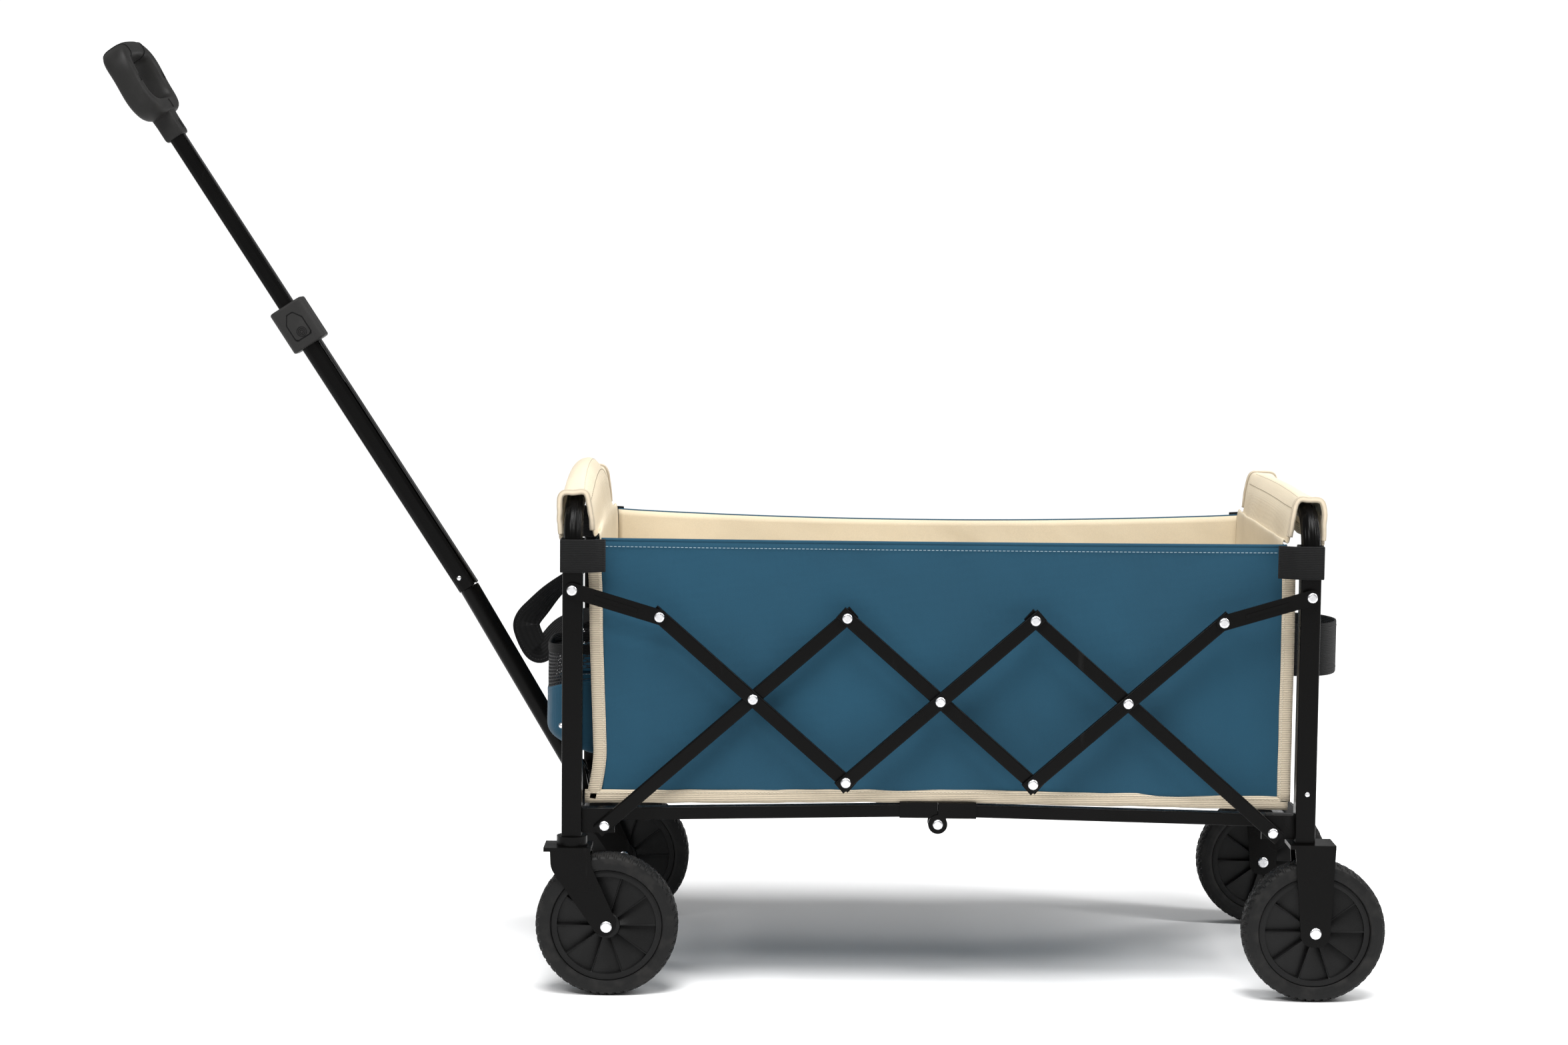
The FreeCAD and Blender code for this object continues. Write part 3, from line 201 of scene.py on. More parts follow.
def moulded_plastic(name, colour, roughness, grain):
    """Matt moulded plastic with a spark-eroded grain and handling marks."""
    made, tree, shader = new_material(name, colour, roughness, gloss=0.16)
    cells = add_node(tree, "ShaderNodeTexVoronoi", Scale=grain)
    tree.links.new(object_points(tree), cells.inputs["Vector"])
    marks = spread(tree, noise_value(tree, 9, 6), roughness - 0.08, roughness + 0.12, 0.3, 0.7)
    tree.links.new(marks, shader.inputs["Roughness"])
    dusty = spread(tree, noise_value(tree, 35, 8), 0, 1, 0.5, 0.8)
    shade = blend_colours(tree, dusty, colour, tint(colour, 1.5))
    tree.links.new(shade, shader.inputs["Base Color"])
    bump(tree, shader, cells.outputs["Distance"], 0.00015, 0.5)
    return made


def woven(name, colour, pitch, sheen, roughness=0.82):
    """Plain-woven polyester: crossing threads, soft creases and slightly uneven dye."""
    made, tree, shader = new_material(name, colour, roughness, sheen=sheen, gloss=0.2)
    over = math_node(tree, "ADD", threads(tree, "X", pitch), threads(tree, "Y", pitch))
    weave = math_node(tree, "ADD", over, threads(tree, "Z", pitch))
    slubs = noise_value(tree, 700, 3)
    dye = math_node(tree, "ADD", noise_value(tree, 5, 3), math_node(tree, "MULTIPLY", slubs, 0.5))
    shade = blend_colours(
        tree, spread(tree, dye, 0, 1, 0.45, 1.05), tint(colour, 0.88), tint(colour, 1.12)
    )
    tree.links.new(shade, shader.inputs["Base Color"])
    creases = add_node(tree, "ShaderNodeBump", Strength=0.35, Distance=0.006)
    tree.links.new(noise_value(tree, 16, 4), creases.inputs["Height"])
    bump(tree, shader, weave, 0.00022, 0.55, creases.outputs["Normal"])
    return made


def ribbed(name, colour, axis, pitch=0.0022, sheen=0.25):
    """Webbing: ribs across an axis, with the finer cross threads between them. Its colour follows the relief,
    darker in the grooves and lighter on the rib tops: painted shade and painted highlight.
    """
    made, tree, shader = new_material(name, colour, 0.85, sheen=sheen, gloss=0.2)
    fine = "Z" if axis != "Z" else "X"
    ribs = threads(tree, axis, pitch)
    cross = math_node(tree, "MULTIPLY", threads(tree, fine, pitch * 0.4), 0.4)
    relief = math_node(tree, "ADD", ribs, cross)
    # Painted shade and painted highlight: the colour runs from a darker copy in the grooves to a lighter copy on
    # the rib tops.
    shade = blend_colours(
        tree, spread(tree, relief, 0, 1, 0.1, 1.3), tint(colour, 0.55), tint(colour, 1.25)
    )
    tree.links.new(shade, shader.inputs["Base Color"])
    bump(tree, shader, relief, 0.0006, 1.0)
    return made


def rubbery(name, colour):
    """Hard tyre plastic, dusty where it rolls."""
    made, tree, shader = new_material(name, colour, 0.62, gloss=0.14)
    dust = spread(tree, noise_value(tree, 48, 7), 0, 1, 0.48, 0.75)
    shade = blend_colours(tree, dust, colour, (0.022, 0.021, 0.02))
    tree.links.new(shade, shader.inputs["Base Color"])
    tree.links.new(spread(tree, dust, 0.5, 0.78), shader.inputs["Roughness"])
    bump(tree, shader, noise_value(tree, 900, 3), 0.00012, 0.6)
    return made


TEAL = (0.0069, 0.053, 0.093)
BEIGE = (0.69, 0.60, 0.445)
paint = powder_coat()
zinc = zinc_plate()
grip_plastic = moulded_plastic("grip_plastic", (0.0125, 0.0122, 0.0118), 0.5, 1400)
collar_plastic = moulded_plastic("collar_plastic", (0.018, 0.0176, 0.0172), 0.52, 1400)
hub_plastic = moulded_plastic("hub_plastic", (0.006, 0.006, 0.006), 0.42, 900)
tyre_skin = rubbery("tyre_skin", (0.009, 0.009, 0.009))
teal_cloth = woven("teal_polyester", TEAL, 0.0009, 0.12, 0.7)
beige_cloth = woven("beige_polyester", BEIGE, 0.0009, 0.15)
navy_cloth = woven("navy_polyester", (0.012, 0.022, 0.05), 0.0012, 0.15)
beige_tape = {
    axis: ribbed("beige_webbing_" + axis, (0.62, 0.53, 0.40), axis, 0.0023, 0.1) for axis in "XYZ"
}
black_tape = {
    axis: ribbed("black_webbing_" + axis, (0.0036, 0.0036, 0.0038), axis, 0.0022, 0.06) for axis in "XYZ"
}
thread_beige = woven("beige_thread", (0.62, 0.56, 0.45), 0.0005, 0.1)
thread_brown = woven("brown_thread", (0.30, 0.25, 0.18), 0.0005, 0.05)
thread_pale = woven("pale_thread", (0.32, 0.42, 0.48), 0.0005, 0.1)
mesh_thread = woven("mesh_thread", (0.010, 0.010, 0.011), 0.0006, 0.2)
# Near-black for the grip's seam lines and the button's rings, and painted shade for the handle's slots and the
# button's groove.
dark_line_and_slot_shade = moulded_plastic("dark_line_and_slot_shade", (0.003, 0.003, 0.003), 0.8, 900)

SLOT_MATERIALS = {
    "black_steel": paint,
    "zinc_steel": zinc,
    "tyre": tyre_skin,
    "wheel_plastic": hub_plastic,
    "black_plastic": grip_plastic,
    "teal_fabric": teal_cloth,
    "beige_fabric": beige_cloth,
    "floor_fabric": beige_cloth,
    "black_webbing": black_tape["X"],
}
for part in frame["record"]["subparts"]:
    cad_mesh = frame["nodes"][part["node"]].data
    cad_mesh.materials.clear()
    cad_mesh.materials.append(SLOT_MATERIALS[part["material_slot"]])
for node_name in ("handle_collar", "release_button"):
    frame["nodes"][node_name].data.materials[0] = collar_plastic

# ---------------------------------------------------------------- mesh building blocks


def make_piece(name, points, faces, material, body, soft=True):
    """A mesh object in the frame's metres that moves with a CAD body."""
    mesh = bpy.data.meshes.new(name)
    mesh.from_pydata([tuple(p) for p in points], [], faces)
    mesh.validate()
    mesh.materials.append(material)
    made = bpy.data.objects.new(name, mesh)
    bpy.context.scene.collection.objects.link(made)
    if soft:
        mesh.shade_smooth()
    if body:
        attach(made, body)
    return made


def lattice(rows, columns, wrap=False, flip=False):
    """Quads between rows of points. With wrap, each row closes on itself."""
    faces = []
    for row in range(rows - 1):
        for column in range(columns if wrap else columns - 1):
            following = (column + 1) % columns
            quad = (
                row * columns + column,
                row * columns + following,
                (row + 1) * columns + following,
                (row + 1) * columns + column,
            )
            faces.append(quad[::-1] if flip else quad)
    return faces


def surface(name, rows, columns, place, material, body, thick=0.0, flip=False, offset=-1):
    """A sheet whose point at (u, v), both from 0 to 1, is place(u, v). Thick gives it a back."""
    points = []
    for row in range(rows):
        for column in range(columns):
            points.append(place(column / (columns - 1), row / (rows - 1)))
    made = make_piece(name, points, lattice(rows, columns, flip=flip), material, body)
    if thick:
        shell = made.modifiers.new("thickness", "SOLIDIFY")
        shell.thickness = thick
        shell.offset = offset
    return made


def smooth_line(points, steps=8, closed=False):
    """A Catmull-Rom curve through a few points."""
    line = []
    count = len(points)
    spans = count if closed else count - 1
    for index in range(spans):
        if closed:
            a, b, c, d = (points[(index + shift) % count] for shift in (-1, 0, 1, 2))
        else:
            a = points[max(index - 1, 0)]
            b = points[index]
            c = points[index + 1]
            d = points[min(index + 2, count - 1)]
        for step in range(steps):
            t = step / steps
            curve = (2 * a - 5 * b + 4 * c - d) * t**2 + (3 * b - a - 3 * c + d) * t**3
            line.append(0.5 * ((2 * b) + (c - a) * t + curve))
    if not closed:
        line.append(points[-1].copy())
    return line


def tangents(line, closed=False):
    count = len(line)
    found = []
    for index in range(count):
        if closed:
            step = line[(index + 1) % count] - line[index - 1]
        else:
            step = line[min(index + 1, count - 1)] - line[max(index - 1, 0)]
        found.append(step.normalized())
    return found


def sweep(name, line, across, outline, material, body, closed=False, swell=None):
    """Carry an outline of (across, outward) offsets along a line.

    Across is a direction, or one per point. Swell holds a pair of factors on the outline per point.
    """
    points = []
    for index, (point, ahead) in enumerate(zip(line, tangents(line, closed))):
        side = across[index] if isinstance(across, list) else across
        side = (side - ahead * side.dot(ahead)).normalized()
        out = ahead.cross(side)
        wide, deep = swell[index] if swell else (1, 1)
        points += [point + side * a * wide + out * b * deep for a, b in outline]
    width = len(outline)
    faces = lattice(len(line), width, wrap=True)
    if closed:
        last = (len(line) - 1) * width
        for column in range(width):
            following = (column + 1) % width
            faces.append((last + column, last + following, following, column))
    else:
        faces.append(tuple(range(width))[::-1])
        faces.append(tuple(range((len(line) - 1) * width, len(line) * width)))
    return make_piece(name, points, faces, material, body)


def tape_outline(width, thick):
    """A flat strap's section, with thin rounded edges."""
    half = width / 2
    edge = half - thick * 0.6
    rim = thick * 0.28
    deep = thick / 2
    lower = [(-half, -rim), (-edge, -deep), (edge, -deep), (half, -rim)]
    return lower + [(-a, -b) for a, b in lower]


def round_outline(radius, count=16):
    return [
        (radius * math.cos(TAU * i / count), radius * math.sin(TAU * i / count)) for i in range(count)
    ]


def signed_power(value, exponent):
    return math.copysign(abs(value) ** exponent, value)


def rounded_square(half_a, half_b, softness, count):
    """A closed outline between a circle, with softness 1, and a rectangle, with softness 0."""
    outline = []
    for step in range(count):
        turn = TAU * step / count
        outline.append((
            half_a * signed_power(math.cos(turn), softness), half_b * signed_power(math.sin(turn), softness)
        ))
    return outline


def resample(line, gap):
    """Points a fixed distance apart along a line."""
    made = [line[0].copy()]
    carried = 0.0
    for start, end in zip(line[:-1], line[1:]):
        span = (end - start).length
        while carried + span >= gap:
            start = start.lerp(end, (gap - carried) / span)
            made.append(start.copy())
            span = (end - start).length
            carried = 0.0
        carried += span
    return made


def stitches(name, line, body, material, pitch=0.0052, radius=0.00042):
    """A row of sewn stitches: short rounded threads with small gaps between them."""
    places = resample(line, pitch)
    points = []
    faces = []
    for start, following in zip(places[:-1], places[1:]):
        ahead = (following - start).normalized()
        side = ahead.orthogonal().normalized()
        out = ahead.cross(side)
        first = len(points)
        for along, swell in ((0.0, 0.25), (0.12, 0.9), (0.38, 1.0), (0.62, 0.9), (0.74, 0.25)):
            centre = start + ahead * pitch * along
            for corner in range(6):
                turn = TAU * corner / 6
                points.append(centre + (side * math.cos(turn) + out * math.sin(turn)) * radius * swell)
        faces += [tuple(first + i for i in quad) for quad in lattice(5, 6, wrap=True)]
        faces.append(tuple(range(first + 5, first - 1, -1)))
        faces.append(tuple(range(first + 24, first + 30)))
    return make_piece(name, points, faces, material, body)


def lathe(name, centre, profile, segments, material, body, shape=None):
    """Turn an open profile of (radius, y) about the Y axis through a centre.

    Shape(radius, y, turn) moves it.
    """
    points = []
    for number in range(segments):
        turn = TAU * number / segments
        for radius, y in profile:
            if shape:
                radius_now, y_now = shape(radius, y, turn)
            else:
                radius_now, y_now = radius, y
            points.append(
                centre + Vector((radius_now * math.cos(turn), y_now, radius_now * math.sin(turn)))
            )
    columns = len(profile)
    faces = lattice(segments, columns)
    last = (segments - 1) * columns
    for column in range(columns - 1):
        faces.append((last + column, last + column + 1, column + 1, column))
    return make_piece(name, points, faces, material, body)


def dome(name, centre, outward, radius, height, body, material=None):
    """A domed head that sits on a face, facing outward."""
    side = outward.orthogonal().normalized()
    other = outward.cross(side)
    points = []
    profile = [(1.0, 0.0), (0.98, 0.35), (0.86, 0.7), (0.6, 0.92), (0.3, 1.0), (0.02, 1.02)]
    for share, rise in profile:
        for corner in range(24):
            turn = TAU * corner / 24
            points.append(
                centre + (side * math.cos(turn) + other * math.sin(turn)) * radius * share
                + outward * height * rise
            )
    faces = lattice(len(profile), 24, wrap=True)
    faces.append(tuple(range(len(points) - 24, len(points))))
    return make_piece(name, points, faces, material or zinc, body)


def drift(point, scale, seed):
    """Smooth seeded noise from about -1 to 1."""
    return noise.noise(point * scale + Vector((seed, seed * 0.7, seed * 1.3)))


def centre_of(node_name):
    low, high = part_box(node_name)
    return (low + high) / 2


SIDES = (("near", -1), ("far", 1))
ENDS = (("front", -1), ("rear", 1))


def bake_modifiers(piece):
    """Turn a piece's modifiers into mesh."""
    bpy.context.view_layer.update()
    graph = bpy.context.evaluated_depsgraph_get()
    finished = bpy.data.meshes.new_from_object(piece.evaluated_get(graph))
    piece.modifiers.clear()
    piece.data = finished


def folds_up(piece):
    """Bake the piece's modifiers into its mesh and give it a mesh of its own."""
    if piece.modifiers:
        bake_modifiers(piece)
    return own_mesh(piece)


# ---------------------------------------------------------------- the bin's sides

floor_low, floor_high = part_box("floor_panel")
side_low, side_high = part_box("side_panel_near")
RIM = side_high.z
BASE = side_low.z
SIDE_LINE = -(side_low.y + side_high.y) / 2
BIN_FRONT = side_low.x + 0.003
BIN_REAR = side_high.x + 0.004
CLOTH = 0.0012


def rim_height(x, side):
    """The rim droops a little between the ends, more on the far side."""
    share = (x - BIN_FRONT) / (BIN_REAR - BIN_FRONT)
    droop = 0.001 if side < 0 else 0.011
    return RIM - droop * math.sin(math.pi * min(max(share, 0), 1)) ** 0.8


def base_height(x):
    """The wall's lower edge lifts a little in the middle and is slightly wavy."""
    share = min(max((x - BIN_FRONT) / (BIN_REAR - BIN_FRONT), 0), 1)
    wave = 0.0014 * drift(Vector((x, 0, 0)), 11, 5) + 0.0009 * drift(Vector((x, 0, 0)), 31, 6)
    return BASE + 0.004 * math.sin(math.pi * share) ** 1.5 - 0.0015 + wave


def wall_bow(x, z, side, seed):
    """How far the wall stands out from its line: soft creases that run down from the rim's corners."""
    share = (x - BIN_FRONT) / (BIN_REAR - BIN_FRONT)
    height = (z - BASE) / (RIM - BASE)
    middle = math.sin(math.pi * share) * math.sin(math.pi * min(height, 1))
    point = Vector((x, 0, z))
    creases = 0.0015 * drift(Vector((x + 0.6 * z, 0, 0.4 * z)), 20, seed + side)
    cross = 0.0012 * drift(Vector((x - 0.8 * z, 0, 0.3 * z)), 13, seed + 2 * side)
    pulls = 0.002 * drift(point, 5, seed)
    return 0.0015 * middle + (creases + cross + pulls) * (0.35 + 0.65 * (1 - height) + 0.3 * middle)


def side_wall(side_name, side, layer_name, line, material, seed):
    """One layer of a side wall, as a sheet stretched between the two ends."""

    def place(u, v):
        x = BIN_FRONT + u * (BIN_REAR - BIN_FRONT)
        low = base_height(x)
        z = low + v * (rim_height(x, side) - low)
        return Vector((x, side * (line + wall_bow(x, z, side, seed)), z))

    name = "side_%s_%s" % (layer_name, side_name)
    return surface(name, 40, 120, place, material, "front_frame", CLOTH, flip=side > 0)


for side_name, side in SIDES:
    outer = side_wall(side_name, side, "shell", SIDE_LINE + 0.0014, teal_cloth, 3)
    lining = side_wall(side_name, side, "lining", SIDE_LINE - 0.0014, beige_cloth, 3)
    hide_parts("side_panel_" + side_name)
    for sheet_piece in (outer, lining):
        folds_up(sheet_piece)

    # The rolled hem along the rim, and the stitch row below it.
    rim_line = []
    stitch_line = []
    for step in range(121):
        x = BIN_FRONT + (BIN_REAR - BIN_FRONT) * step / 120
        z = rim_height(x, side)
        stand = wall_bow(x, z, side, 3)
        rim_line.append(Vector((x, side * (SIDE_LINE + stand), z - 0.0005)))
        stitch_line.append(
            Vector((x, side * (SIDE_LINE + 0.0023 + wall_bow(x, z - 0.009, side, 3)), z - 0.009))
        )
    hem = sweep(
        "rim_hem_" + side_name,
        rim_line,
        Y_AXIS,
        round_outline(0.0022, 10),
        teal_cloth,
        "front_frame",
    )
    folds_up(hem)
    row = stitches("rim_stitches_" + side_name, stitch_line, "front_frame", thread_pale)
    folds_up(row)

# ---------------------------------------------------------------- the binding round each side wall

BIND_WIDTH = 0.0165
BIND_THICK = 0.0034
BIND_LINE = SIDE_LINE + 0.0006
CORNER_FLARE = 0.009


def binding(name, line, side, body, stitched=True):
    """Ribbed tape folded over the seam, with its stitch row along the inner edge."""
    shape = tape_outline(BIND_WIDTH, BIND_THICK + 0.004)
    made = sweep(
        name,
        line,
        [Vector((-t.z, 0, t.x)) for t in tangents(line)],
        shape,
        beige_tape["Z"],
        body,
    )
    row = None
    if stitched:
        moved = []
        for point, ahead in zip(line, tangents(line)):
            inward = Vector((-ahead.z, 0, ahead.x)) * (BIND_WIDTH * 0.3)
            moved.append(point + inward + Vector((0, side * (BIND_THICK + 0.004) * 0.55, 0)))
        row = stitches(name + "_stitches", moved, body, thread_beige, 0.0048)
    return made, row


for side_name, side in SIDES:
    y = side * BIND_LINE
    front_edge = []
    for step in range(31):
        z = RIM - 0.02 - (RIM - 0.02 - BASE + 0.006) * step / 30
        near_corner = max(0, 1 - (z - BASE) / 0.055)
        lean = 0.010 * (RIM - z) / (RIM - BASE) - 0.009
        x = BIN_FRONT + lean + 0.0012 * drift(Vector((0, 0, z)), 14, 8) - CORNER_FLARE * near_corner**1.5
        front_edge.append(Vector((x, y, z)))
    binding("binding_front_" + side_name, front_edge, side, "front_frame")
    rear_edge = []
    for step in range(31):
        z = BASE - 0.002 + (RIM - 0.02 - BASE) * step / 30
        rear_edge.append(Vector((BIN_REAR + 0.003 + 0.001 * drift(Vector((0, 0, z)), 14, 9), y, z)))
    binding("binding_rear_" + side_name, rear_edge, side, "rear_frame")
    low_edge = []
    for step in range(121):
        x = BIN_FRONT - 0.019 + (BIN_REAR - BIN_FRONT + 0.027) * step / 120
        low_edge.append(Vector((x, y, base_height(x) - 0.002)))
    for piece in binding("binding_low_" + side_name, low_edge, side, "front_frame"):
        folds_up(piece)

# ---------------------------------------------------------------- end walls and their covers

BOW_CORNER = 0.048
BOW_FLAT = 0.181
BOW_RADIUS = 0.012
BOW_CROWN = {-1: 0.0252, 1: 0.0032}
BOW_TOP = {-1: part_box("front_bow")[1].z, 1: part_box("rear_bow")[1].z}


def bow_top(end, y):
    """The height of the bow's upper edge above a distance from the middle."""
    crown = BOW_CROWN[end]
    top = BOW_TOP[end]
    away = min(abs(y), BOW_FLAT + BOW_CORNER)
    if away <= BOW_FLAT:
        return top - crown * (away / BOW_FLAT) ** 2
    over = away - BOW_FLAT
    return top - crown - (BOW_CORNER - math.sqrt(max(BOW_CORNER**2 - over**2, 0)))


BOW_X = abs(centre_of("front_bow").x)
WALL_X = 0.4272
COVER_HEM = 0.575
END_HALF = SIDE_LINE - 0.0028


def cover_top(end, y):
    """The cover's own height: stiff cloth that doesn't quite follow the bow round its corners."""
    flat = min(abs(y), BOW_FLAT)
    return 0.8 * bow_top(end, flat) + 0.2 * bow_top(end, y) + 0.003 * (abs(y) / 0.21) ** 4


def cover_profile(end, y):
    """The end wall's line at one distance across: up from the floor, over the bow, down to the hem."""
    top = cover_top(end, y) + 0.0008
    square = (abs(y) / 0.21) ** 4
    slack = 0.0025 * drift(Vector((0, y, 0)), 14, 2 + end)
    loose = 0.004 * drift(Vector((0, y, 0)), 24, 7 + end)
    reach = [
        (WALL_X, BASE + 0.002),
        (WALL_X - 0.001 + slack * 0.4, BASE + 0.12),
        (WALL_X - 0.002 - slack * 0.5, BASE + 0.22),
        (WALL_X - 0.003 + slack, RIM - 0.035),
        (WALL_X - 0.004 + slack + 0.003 * square, RIM + 0.006),
        (WALL_X + 0.001 + slack + 0.005 * square, top - 0.052),
        (WALL_X + 0.007 + 0.003 * square, top - 0.020),
        (BOW_X - 0.010 - 0.004 * square, top + 0.0005),
        (BOW_X + 0.001, top + 0.003 - 0.0015 * square),
        (BOW_X + 0.0115 + 0.0035 * square, top - 0.003 + 0.0028 * square),
        (BOW_X + 0.0175 + 0.001 * square, top - 0.016 + 0.005 * square),
        (BOW_X + 0.0185 + loose * 0.4, (top + COVER_HEM) / 2),
        (BOW_X + 0.0178 + loose, COVER_HEM + 0.003 * drift(Vector((0, y, 0)), 9, end)),
    ]
    return smooth_line([Vector((end * x, y, z)) for x, z in reach], 5)


def cover_half(v):
    """Half the wall's width: up to the side walls' lining below the rim, wider where it wraps the bow."""
    grow = min(max((v - 0.42) / 0.06, 0), 1)
    return END_HALF + (0.2085 - END_HALF) * grow * grow * (3 - 2 * grow)


def cover_point(end, u, v):
    across = 2 * u - 1
    y = across * cover_half(v)
    line = cover_profile(end, y)
    at = v * (len(line) - 1)
    index = min(int(at), len(line) - 2)
    return line[index].lerp(line[index + 1], at - index)


for end_name, end in ENDS:
    body = end_name + "_frame"

    def place(u, v, end=end):
        return cover_point(end, u, v)

    cover = surface(
        "cover_" + end_name, 120, 70, place, beige_cloth, body,
        0.0016, flip=end < 0, offset=0
    )
    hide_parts(end_name + "_panel")
    profile = cover_profile(end, 0.0)
    length = sum((b - a).length for a, b in zip(profile[:-1], profile[1:]))

    def outer_place(u, v, end=end):
        y = (2 * u - 1) * END_HALF
        z = BASE + 0.001 + v * (RIM - 0.002 - BASE)
        swell = 0.0012 * drift(Vector((0, y, z)), 9, 11 + end)
        return Vector((end * (WALL_X + 0.0022 + swell * math.sin(math.pi * u)), y, z))

    outer_wall = surface(
        "end_shell_" + end_name, 30, 40, outer_place, teal_cloth, body, 0.0011, flip=end > 0
    )

    for side_name, side in SIDES:
        edge = []
        for step in range(121):
            point = cover_point(end, 0 if side < 0 else 1, 0.44 + 0.56 * step / 120)
            gather = 0.0009 * drift(Vector((point.x, 0, point.z)), 90, 21 + side)
            edge.append(point + Vector((gather, 0, gather)))
        sweep(
            "cover_binding_%s_%s" % (end_name, side_name),
            edge,
            Y_AXIS,
            rounded_square(0.0040, 0.0036, 0.7, 16),
            beige_tape["Y"],
            body,
        )
    hem_edge = [cover_point(end, step / 60, 1.0) for step in range(61)]
    sweep(
        "cover_hem_" + end_name, hem_edge, Z_AXIS, tape_outline(0.014, 0.0042), beige_tape[
            "Z"
        ], body
    )
    for number, share in enumerate((0.53, 0.60, 0.93)):
        seam = []
        for step in range(61):
            point = cover_point(end, 0.04 + 0.92 * step / 60, share)
            seam.append(point + Vector((-end * 0.0011 if share < 0.8 else end * 0.0011, 0, 0)))
        stitches(
            "cover_stitches_%s_%d" % (end_name, number), seam, body, thread_brown, 0.009
        )

# ---------------------------------------------------------------- the bin's floor

MAT_HALF = WALL_X - 0.0012


def floor_place(u, v):
    x = -MAT_HALF + 2 * MAT_HALF * u
    y = (2 * v - 1) * (floor_high.y - 0.001)
    fold = abs(((u * 4) % 1) - 0.5) * 2
    edge = min(v, 1 - v) * 14
    puff = min(1, (1 - fold**8)) * min(1, edge) ** 0.5
    if v in (0, 1):
        y = math.copysign(SIDE_LINE - 0.0022, y)
        return Vector((x, y, floor_high.z + 0.004))
    return Vector(
        (x, y, floor_high.z - 0.0035 + 0.0032 * puff + 0.0004 * drift(Vector((x, y, 0)), 20, 3))
    )


floor_mat = surface(
    "floor_mat", 50, 161, floor_place, beige_cloth, "front_frame", 0.0022
)
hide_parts("floor_panel")
folds_up(floor_mat)


def underside_place(u, v):
    x = side_low.x + 0.002 + u * (side_high.x - side_low.x - 0.004)
    y = (2 * v - 1) * (floor_high.y - 0.001)
    return Vector((
        x, y,
        floor_low.z - 0.0002 - 0.0016 * math.sin(math.pi * v) - 0.0006 * drift(Vector((x, y, 0)), 12, 5)
    ))


underside = surface(
    "floor_underside",
    30,
    90,
    underside_place,
    teal_cloth,
    "front_frame",
    0.0011,
    offset=1,
)
folds_up(underside)
for number in (1, 2, 3):
    x = floor_place(number / 4, 0).x
    seam = [
        floor_place(number / 4, 0.02 + 0.96 * step / 50) + Vector((0, 0, 0.0006)) for step in range(51)
    ]
    folds_up(
        stitches("floor_fold_stitches_%d" % number, seam, "front_frame", thread_beige)
    )

# ---------------------------------------------------------------- bows


def fluted_outline(radius, flutes=10, depth=0.0007, count=60):
    outline = []
    for index in range(count):
        turn = TAU * index / count
        near = radius - depth * (0.5 - 0.5 * math.cos(flutes * turn)) ** 3
        outline.append((near * math.cos(turn), near * math.sin(turn)))
    return outline


for end_name, end in ENDS:
    post_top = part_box(end_name + "_posts")[1].z
    half_span = (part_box(end_name + "_bow")[1].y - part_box(end_name + "_bow")[0].y) / 2 - BOW_RADIUS
    corner_centre = half_span - BOW_CORNER
    arch = [Vector((end * BOW_X, -half_span, post_top))]
    for step in range(1, 13):
        turn = math.radians(90 * step / 12)
        rise = bow_top(end, corner_centre) - BOW_RADIUS - post_top
        arch.append(
            Vector((
                end * BOW_X, -corner_centre - BOW_CORNER * math.cos(turn), post_top + rise * math.sin(turn)
            ))
        )
    for step in range(1, 30):
        y = -corner_centre + 2 * corner_centre * step / 30
        arch.append(Vector((end * BOW_X, y, bow_top(end, y) - BOW_RADIUS)))
    arch += [Vector((p.x, -p.y, p.z)) for p in arch[12::-1]]
    bow = sweep(
        end_name + "_bow_tube",
        arch,
        X_AXIS,
        fluted_outline(BOW_RADIUS),
        paint,
        end_name + "_frame",
    )
    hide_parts(end_name + "_bow")

# ---------------------------------------------------------------- bands round the post tops

for end_name, end in ENDS:
    low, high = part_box(end_name + "_bands")
    half = 0.0143
    middle_x = end * BOW_X
    tail = (high.x if end < 0 else low.x) + end * 0.001
    for side_name, side in SIDES:
        middle_y = side * 0.229
        corners = [
            (tail, middle_y + side * half * 0.2),
            (middle_x - end * (half + 0.010), middle_y + side * half * 0.85),
            (middle_x - end * half * 0.8, middle_y + side * half),
            (middle_x + end * half * 0.8, middle_y + side * half),
            (middle_x + end * half, middle_y + side * half * 0.8),
            (middle_x + end * half, middle_y - side * half * 0.8),
            (middle_x + end * half * 0.8, middle_y - side * half),
            (middle_x - end * half * 0.8, middle_y - side * half),
            (middle_x - end * half, middle_y - side * half * 0.8),
            (middle_x - end * half, middle_y + side * half * 0.55),
        ]
        path = smooth_line([Vector((x, y, (low.z + high.z) / 2)) for x, y in corners], 5)
        band = sweep(
            "band_%s_%s" % (end_name, side_name),
            path,
            Z_AXIS,
            tape_outline(high.z - low.z, 0.002),
            black_tape["Z"],
            end_name + "_frame",
        )
        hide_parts(end_name + "_bands")

# ---------------------------------------------------------------- front strap and rear grab loop

strap_low, strap_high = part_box("front_strap")
strap_y = (strap_low.y + strap_high.y) / 2
strap_points = [
    (strap_high.x - 0.001, strap_high.z),
    (-0.492, 0.484),
    (-0.519, 0.456),
    (strap_low.x + 0.003, 0.438),
    (strap_low.x + 0.003, 0.424),
    (-0.521, strap_low.z + 0.003),
    (-0.508, strap_low.z + 0.006),
    (-0.484, 0.432),
    (strap_high.x - 0.001, 0.452),
]
strap_line = smooth_line([Vector((x, strap_y, z)) for x, z in strap_points], 12)
STRAP_WIDTH = 0.036


def strap_across(line):
    """The strap leaves the wall flat and turns its face toward the side where it hangs free."""
    turned = []
    for index, ahead in enumerate(tangents(line)):
        free = math.sin(math.pi * index / (len(line) - 1)) ** 0.6
        turned.append(Y_AXIS * (1 - 0.72 * free) + ahead.cross(Y_AXIS) * 0.85 * free)
    return turned


